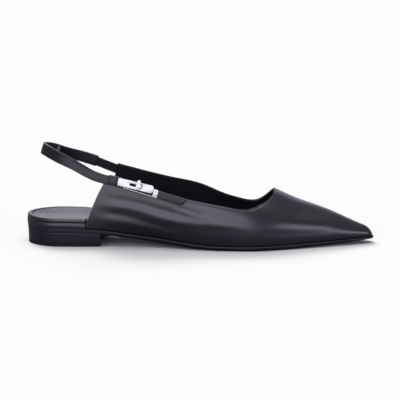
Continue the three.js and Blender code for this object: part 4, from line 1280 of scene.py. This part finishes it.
# %% Way of the strap
STRAP_WIDTH, STRAP_END_WIDTH, STRAP_TAPER, STRAP_THICKNESS = 8.7, 6.9, 70.0, 2.0
STRAP_HEIGHT, STRAP_BACK, STRAP_REACH, STRAP_SPREAD = 72.6, 12.9, 40.7, 26.0
STRAP_LEAN, STRAP_TWIST, STRAP_DIP = 0.3, 30.0, 0.9
SLING_WAY = [
    # ahead, side, height
    (1.0, -0.985, 0.771), (0.667, -0.9, 0.868), (0.333, -0.7, 0.944), (0.133, -0.42, 0.985), (0, 0, 1.0),
    (0.133, 0.42, 0.972), (0.333, 0.7, 0.918), (0.667, 0.88, 0.858), (0.947, 0.93, 0.806),
]
way = np.array([
    in_frame((HASP_REAR + HASP_TUCK, 0, STRAP_MIDDLE), hasp_frame),
    in_frame((HASP_REAR - FOLD_LENGTH, -STRAP_DIP, STRAP_MIDDLE), hasp_frame),
    *[(STRAP_BACK + a * STRAP_REACH, s * STRAP_SPREAD, h * STRAP_HEIGHT) for a, s, h in SLING_WAY],
])
way_run = run_along(way)
WAY_LENGTH = way_run[-1]
way_curves = [bent(way_run, way[:, i]) for i in range(3)]


def way_point(run):
    """The strap's middle, run millimetres from its outer end."""
    return np.array([float(c(run)) for c in way_curves])


def way_tangent(run):
    return unit(way_point(run + 0.5) - way_point(run - 0.5))


ELASTIC_TOP = QUARTER_HEIGHT * REAR[1][1] - 1.0
ELASTIC_WIDTH, ELASTIC_THICKNESS = 7.0, 1.2


def inner_skin(z):
    """A point at a height on the inner quarter, above its rear corner."""
    return body_point(1, REAR[1][0], turn_at_height(REAR[1][0], z))


inner_up = unit(inner_skin(ELASTIC_TOP) - inner_skin(ELASTIC_TOP - ELASTIC_WIDTH))


def way_frame(run):
    """The band's up and out at a place on its way."""
    along = way_tangent(run)
    inward = np.array([STRAP_SPREAD * 2, 0, 0]) - way_point(run)
    inward[2] = 0
    free = np.array([0, 0, 1]) + unit(inward) * STRAP_LEAN
    near_clasp = 1 - smoothstep(FOLD_LENGTH, FOLD_LENGTH + STRAP_TWIST, run)
    near_elastic = smoothstep(WAY_LENGTH - STRAP_TWIST, WAY_LENGTH, run)
    up = mix(mix(free, up_way, near_clasp), inner_up, near_elastic)
    up = unit(up - along * (up @ along))
    return along, up, np.cross(up, along)


print("strap is", round(WAY_LENGTH, 1), "mm long")

# %% Bands on the way
def band(run, width, thickness, shift, crown=0.0, groove=0.0):
    """One rounded cross section: crown pillows its faces, groove presses a line inside each edge."""
    _, up, out = way_frame(run)
    w, t = width / 2, thickness / 2
    r = min(0.55, t * 0.8)
    angles = np.linspace(0, np.pi / 2, 5)
    corner = [(w - r + r * math.sin(a), t - r + r * math.cos(a)) for a in angles]
    line = w - 1.1
    inner = [(s, t + crown * (1 - (s / w) ** 2)) for s in np.linspace(0, line - 0.3, 5)]
    pressed = [(line, t - groove + crown * 0.1)]
    quarter = [*inner, *pressed, *corner]
    half = [*[(-s, o) for s, o in quarter[:0:-1]], *quarter]
    loop = [*half, *[(-s, -o) for s, o in half]]
    centre = way_point(run) + out * shift
    return [centre + up * s + out * o for s, o in loop]


def strap_width(run):
    return mix(STRAP_END_WIDTH, STRAP_WIDTH, smoothstep(0, STRAP_TAPER, run))


strap = lofted("strap_leather", [band(run, strap_width(run), STRAP_THICKNESS, 0.0, 0.06, 0.12)
                                 for run in np.linspace(0, WAY_LENGTH, 210)])
finished(strap, shaded_strap_calf, ("sling_strap",), smooth=50)

# %% [markdown]
# ## The heel grip
# A thin suede pad is glued inside the strap behind the heel, with a pale raw edge at each end. It is
# a padded piece, so its middle is full and its ends thin out.

# %% Grip pad
GRIP_LENGTH, GRIP_WIDTH, GRIP_THICKNESS = 36.0, 7.0, 0.8
way_back = float(way_run[np.argmin(way[:, 0])])
grip_loops = []
for u in -np.cos(np.linspace(0, np.pi, 60)):
    run = way_back + u * GRIP_LENGTH / 2
    end = math.sqrt(max(0.0, 1 - abs(u) ** 10))
    thick = GRIP_THICKNESS * (0.55 + 0.45 * end) + 0.28
    wide = GRIP_WIDTH * (0.86 + 0.14 * end)
    grip_loops.append(band(run, wide, thick, -(STRAP_THICKNESS + thick) / 2 + 0.02, 0.12))
grip = lofted("grip_pad", grip_loops)
finished(grip, suede, ("heel_grip",), smooth=60)
PALE, NEAR_END = 3.0, 8.0    # length of each pale end, and how far from its start a face can be


def on_pale_end(face):
    """Whether a face lies beyond the start of a pale end."""
    for end in (-1, 1):
        edge = way_back + end * (GRIP_LENGTH / 2 - PALE)
        gap = np.array(face.center) - to_metres(way_point(edge))
        if gap @ way_tangent(edge) * end > 0 and np.linalg.norm(gap) < NEAR_END * MM:
            return True
    return False


second_finish(grip, pale_edge, on_pale_end)

# %% [markdown]
# ## The elastic
# Narrow elastic webbing runs from inside the strap's end to between the leather and the lining of the
# inner quarter. Its UV map runs along it, so its cords do too.

# %% Elastic webbing
def rear_edge(side, z):
    """A point in the middle of a quarter's wall on its rear edge, at a height."""
    _, _, bow = REAR[side]
    top_x, top_turn = TOPLINES[side](0.0)
    rise = np.linspace(0, 1, 400)
    turns = np.where(rise < 3 / 11, rise * 11 / 3 - 1, (rise * 11 - 3) / 8 * float(top_turn))
    lean_by = rise - bow * rise * (1 - rise)
    x = mix(REAR_FOOT, float(top_x), lean_by)
    points = body_point(side, x, turns)
    k = int(np.argmin(np.abs(points[:, 2] - z)))
    return points[k] - body_normal(side, x[k], turns[k]) * UPPER_WALL / 2


seat_top, seat_low = rear_edge(1, ELASTIC_TOP), rear_edge(1, ELASTIC_TOP - ELASTIC_WIDTH)
elastic_start = way_point(WAY_LENGTH - 3.0)
run_on = unit((seat_top + seat_low) / 2 - elastic_start)
_, end_up, end_out = way_frame(WAY_LENGTH)
elastic_across = unit(np.cross(seat_top - seat_low, run_on))
elastic_across *= math.copysign(1, elastic_across @ end_out)
elastic_loops = []
for u in np.linspace(0, 1, 30):
    low_edge, top_edge = (mix(elastic_start + end_up * w * ELASTIC_WIDTH, p + run_on * 2.2, u)
                          for w, p in ((-0.5, seat_low), (0.5, seat_top)))
    side_way = unit(mix(end_out, elastic_across, u))
    loop = []
    for face_side in (1, -1):
        for s in np.linspace(0, 1, 15)[::face_side]:
            half_thick = ELASTIC_THICKNESS / 2 * min(1, 0.55 + 8 * min(s, 1 - s))
            loop.append(mix(low_edge, top_edge, s) + side_way * half_thick * face_side)
    elastic_loops.append(loop)
web = lofted("elastic_webbing", elastic_loops)
finished(web, elastic, ("strap_elastic",), smooth=60)

# %% [markdown]
# ## The fold at the hasp
# The strap's end is turned back over the rear bar of the hasp plate and stitched down on itself.

# %% Folded end of the strap
FOLD_UNDER, FOLD_PADDED = HASP_UNDER - 0.3, FOLD_THICKNESS + 0.55
fold_end = HASP_REAR - 0.1
fold_loops = []
for u in np.linspace(0, 1, 40):
    x = mix(HASP_REAR - FIT_GAP - FOLD_LENGTH, fold_end, u)
    end = math.sqrt(max(0.02, 1 - (2 * abs(u - 0.5)) ** 8))
    wide = FOLD_WIDTH / 2 * (0.93 + 0.07 * end)
    high = FOLD_UNDER + FOLD_PADDED * (0.45 + 0.55 * end) + 0.22 * math.sin(u * math.pi)
    low = HASP_UNDER - 1.6
    rounds = np.linspace(0, np.pi / 2, 6)
    side = [(wide - 0.6 + 0.6 * math.cos(a), high - 0.6 + 0.6 * math.sin(a)) for a in rounds]
    top = [(s, high + 0.14 * (1 - (s / wide) ** 2)) for s in np.linspace(wide - 1.1, 1.1 - wide, 9)]
    loop = [(wide, low), *side, *top, *[(-s, t) for s, t in side[::-1]], (-wide, low)]
    fold_loops.append(in_frame([(x, s, t) for s, t in loop], hasp_frame))
strap_fold = lofted("folded_end", fold_loops)
finished(strap_fold, shaded_strap_calf, ("strap_fold",), smooth=50)

# %% [markdown]
# ## Stitches
# One stitch is modelled as a small spindle and copied along each sewn line.

# %% One stitch, copied
def stitch_line(name, points, normals, pitch=2.3, length=1.75, thick=0.22, sink=0.02):
    """Stitches of one sewn line, joined into a single piece. Points and normals are in millimetres."""
    points, normals = np.asarray(points, float), np.asarray(normals, float)
    run = run_along(points)
    deselect()
    bpy.ops.mesh.primitive_uv_sphere_add(segments=8, ring_count=5, radius=0.5)
    model = bpy.context.object
    shape = np.array([v.co for v in model.data.vertices])

    def along_line(table, at):
        return np.array([np.interp(at, run, table[:, i]) for i in range(3)])

    copies = []
    for at in np.arange(pitch / 2, run[-1], pitch):
        spot, normal = along_line(points, at), along_line(normals, at)
        along, normal = unit(along_line(points, at + 0.2) - along_line(points, at - 0.2)), unit(normal)
        aside = np.cross(normal, along)
        made = bpy.data.objects.new(name, model.data.copy())
        bpy.context.collection.objects.link(made)
        body = shape @ np.array([along * length, aside * thick * 1.6, normal * thick]) + spot - normal * sink
        lay(made, body)
        copies.append(made)
    bpy.data.objects.remove(model)
    deselect()
    for made in copies:
        made.select_set(True)
    bpy.context.view_layer.objects.active = copies[0]
    bpy.ops.object.join()
    piece = named(name)
    edit(piece, outward)
    return finished(piece, thread, smooth=60)


def edge_line(side, below, out):
    """Points and normals inside the edge of the opening, from the rear corner to the throat."""
    share = np.linspace(0.012, 0.996, 320)
    x, turns = TOPLINES[side](share)
    edge, normal = body_point(side, x, turns), body_normal(side, x, turns)
    inward = unit(np.cross(normal, np.gradient(edge, axis=0)))
    inward = inward * np.sign(inward @ np.array([0.5, 0, -1]))[:, None]
    return edge + inward * below + normal * out, normal


for side, word in ((-1, "outer"), (1, "inner")):
    stitch_line(f"topline_stitches_{word}", *edge_line(side, SEAM_BELOW, -0.12))

# %% Stitches of the tab and the fold
STITCHED_FROM, EDGE_MARGIN = 108, 0.95   # the tab's seam begins ahead of the clasp, inside its edge
tab_line, tab_up = [], []
for start, end, edge in ((STITCHED_FROM, TAB_END - 2.2, -1), (TAB_END + 0.6, STITCHED_FROM, 1)):
    for x in np.linspace(start, end, 30):
        height = tab_middle(x) + edge * (TAB_WIDTH / 2 - EDGE_MARGIN)
        tab_line.append(outer_skin(x, height, TAB_FACE + 0.04))
        tab_up.append(body_normal(-1, x, turn_at_height(x, tab_middle(x))))
stitch_line("tab_stitches", tab_line, tab_up, pitch=2.0, length=1.5)
fold_high = FOLD_UNDER + FOLD_PADDED + 0.12
for i, along in enumerate((-FOLD_LENGTH + 1.4, -1.6)):
    line = [(HASP_REAR + along, s, fold_high) for s in np.linspace(-2.4, 2.4, 8)]
    stitch_line(f"fold_stitches_{i + 1}", in_frame(line, hasp_frame), [out_way] * 8, pitch=1.6, length=1.25)

# %% [markdown]
# ## Last measures
# Both boxes, of the solid shoe and of the dressed shoe, are printed. The dressed shoe
# has to stay in the solid shoe's box.

# %% Boxes
dressed_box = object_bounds()
for word, (low, high) in (("solids", solid_box), ("dressed", dressed_box)):
    print(word, [round(c * 1000, 1) for c in low], [round(c * 1000, 1) for c in high])
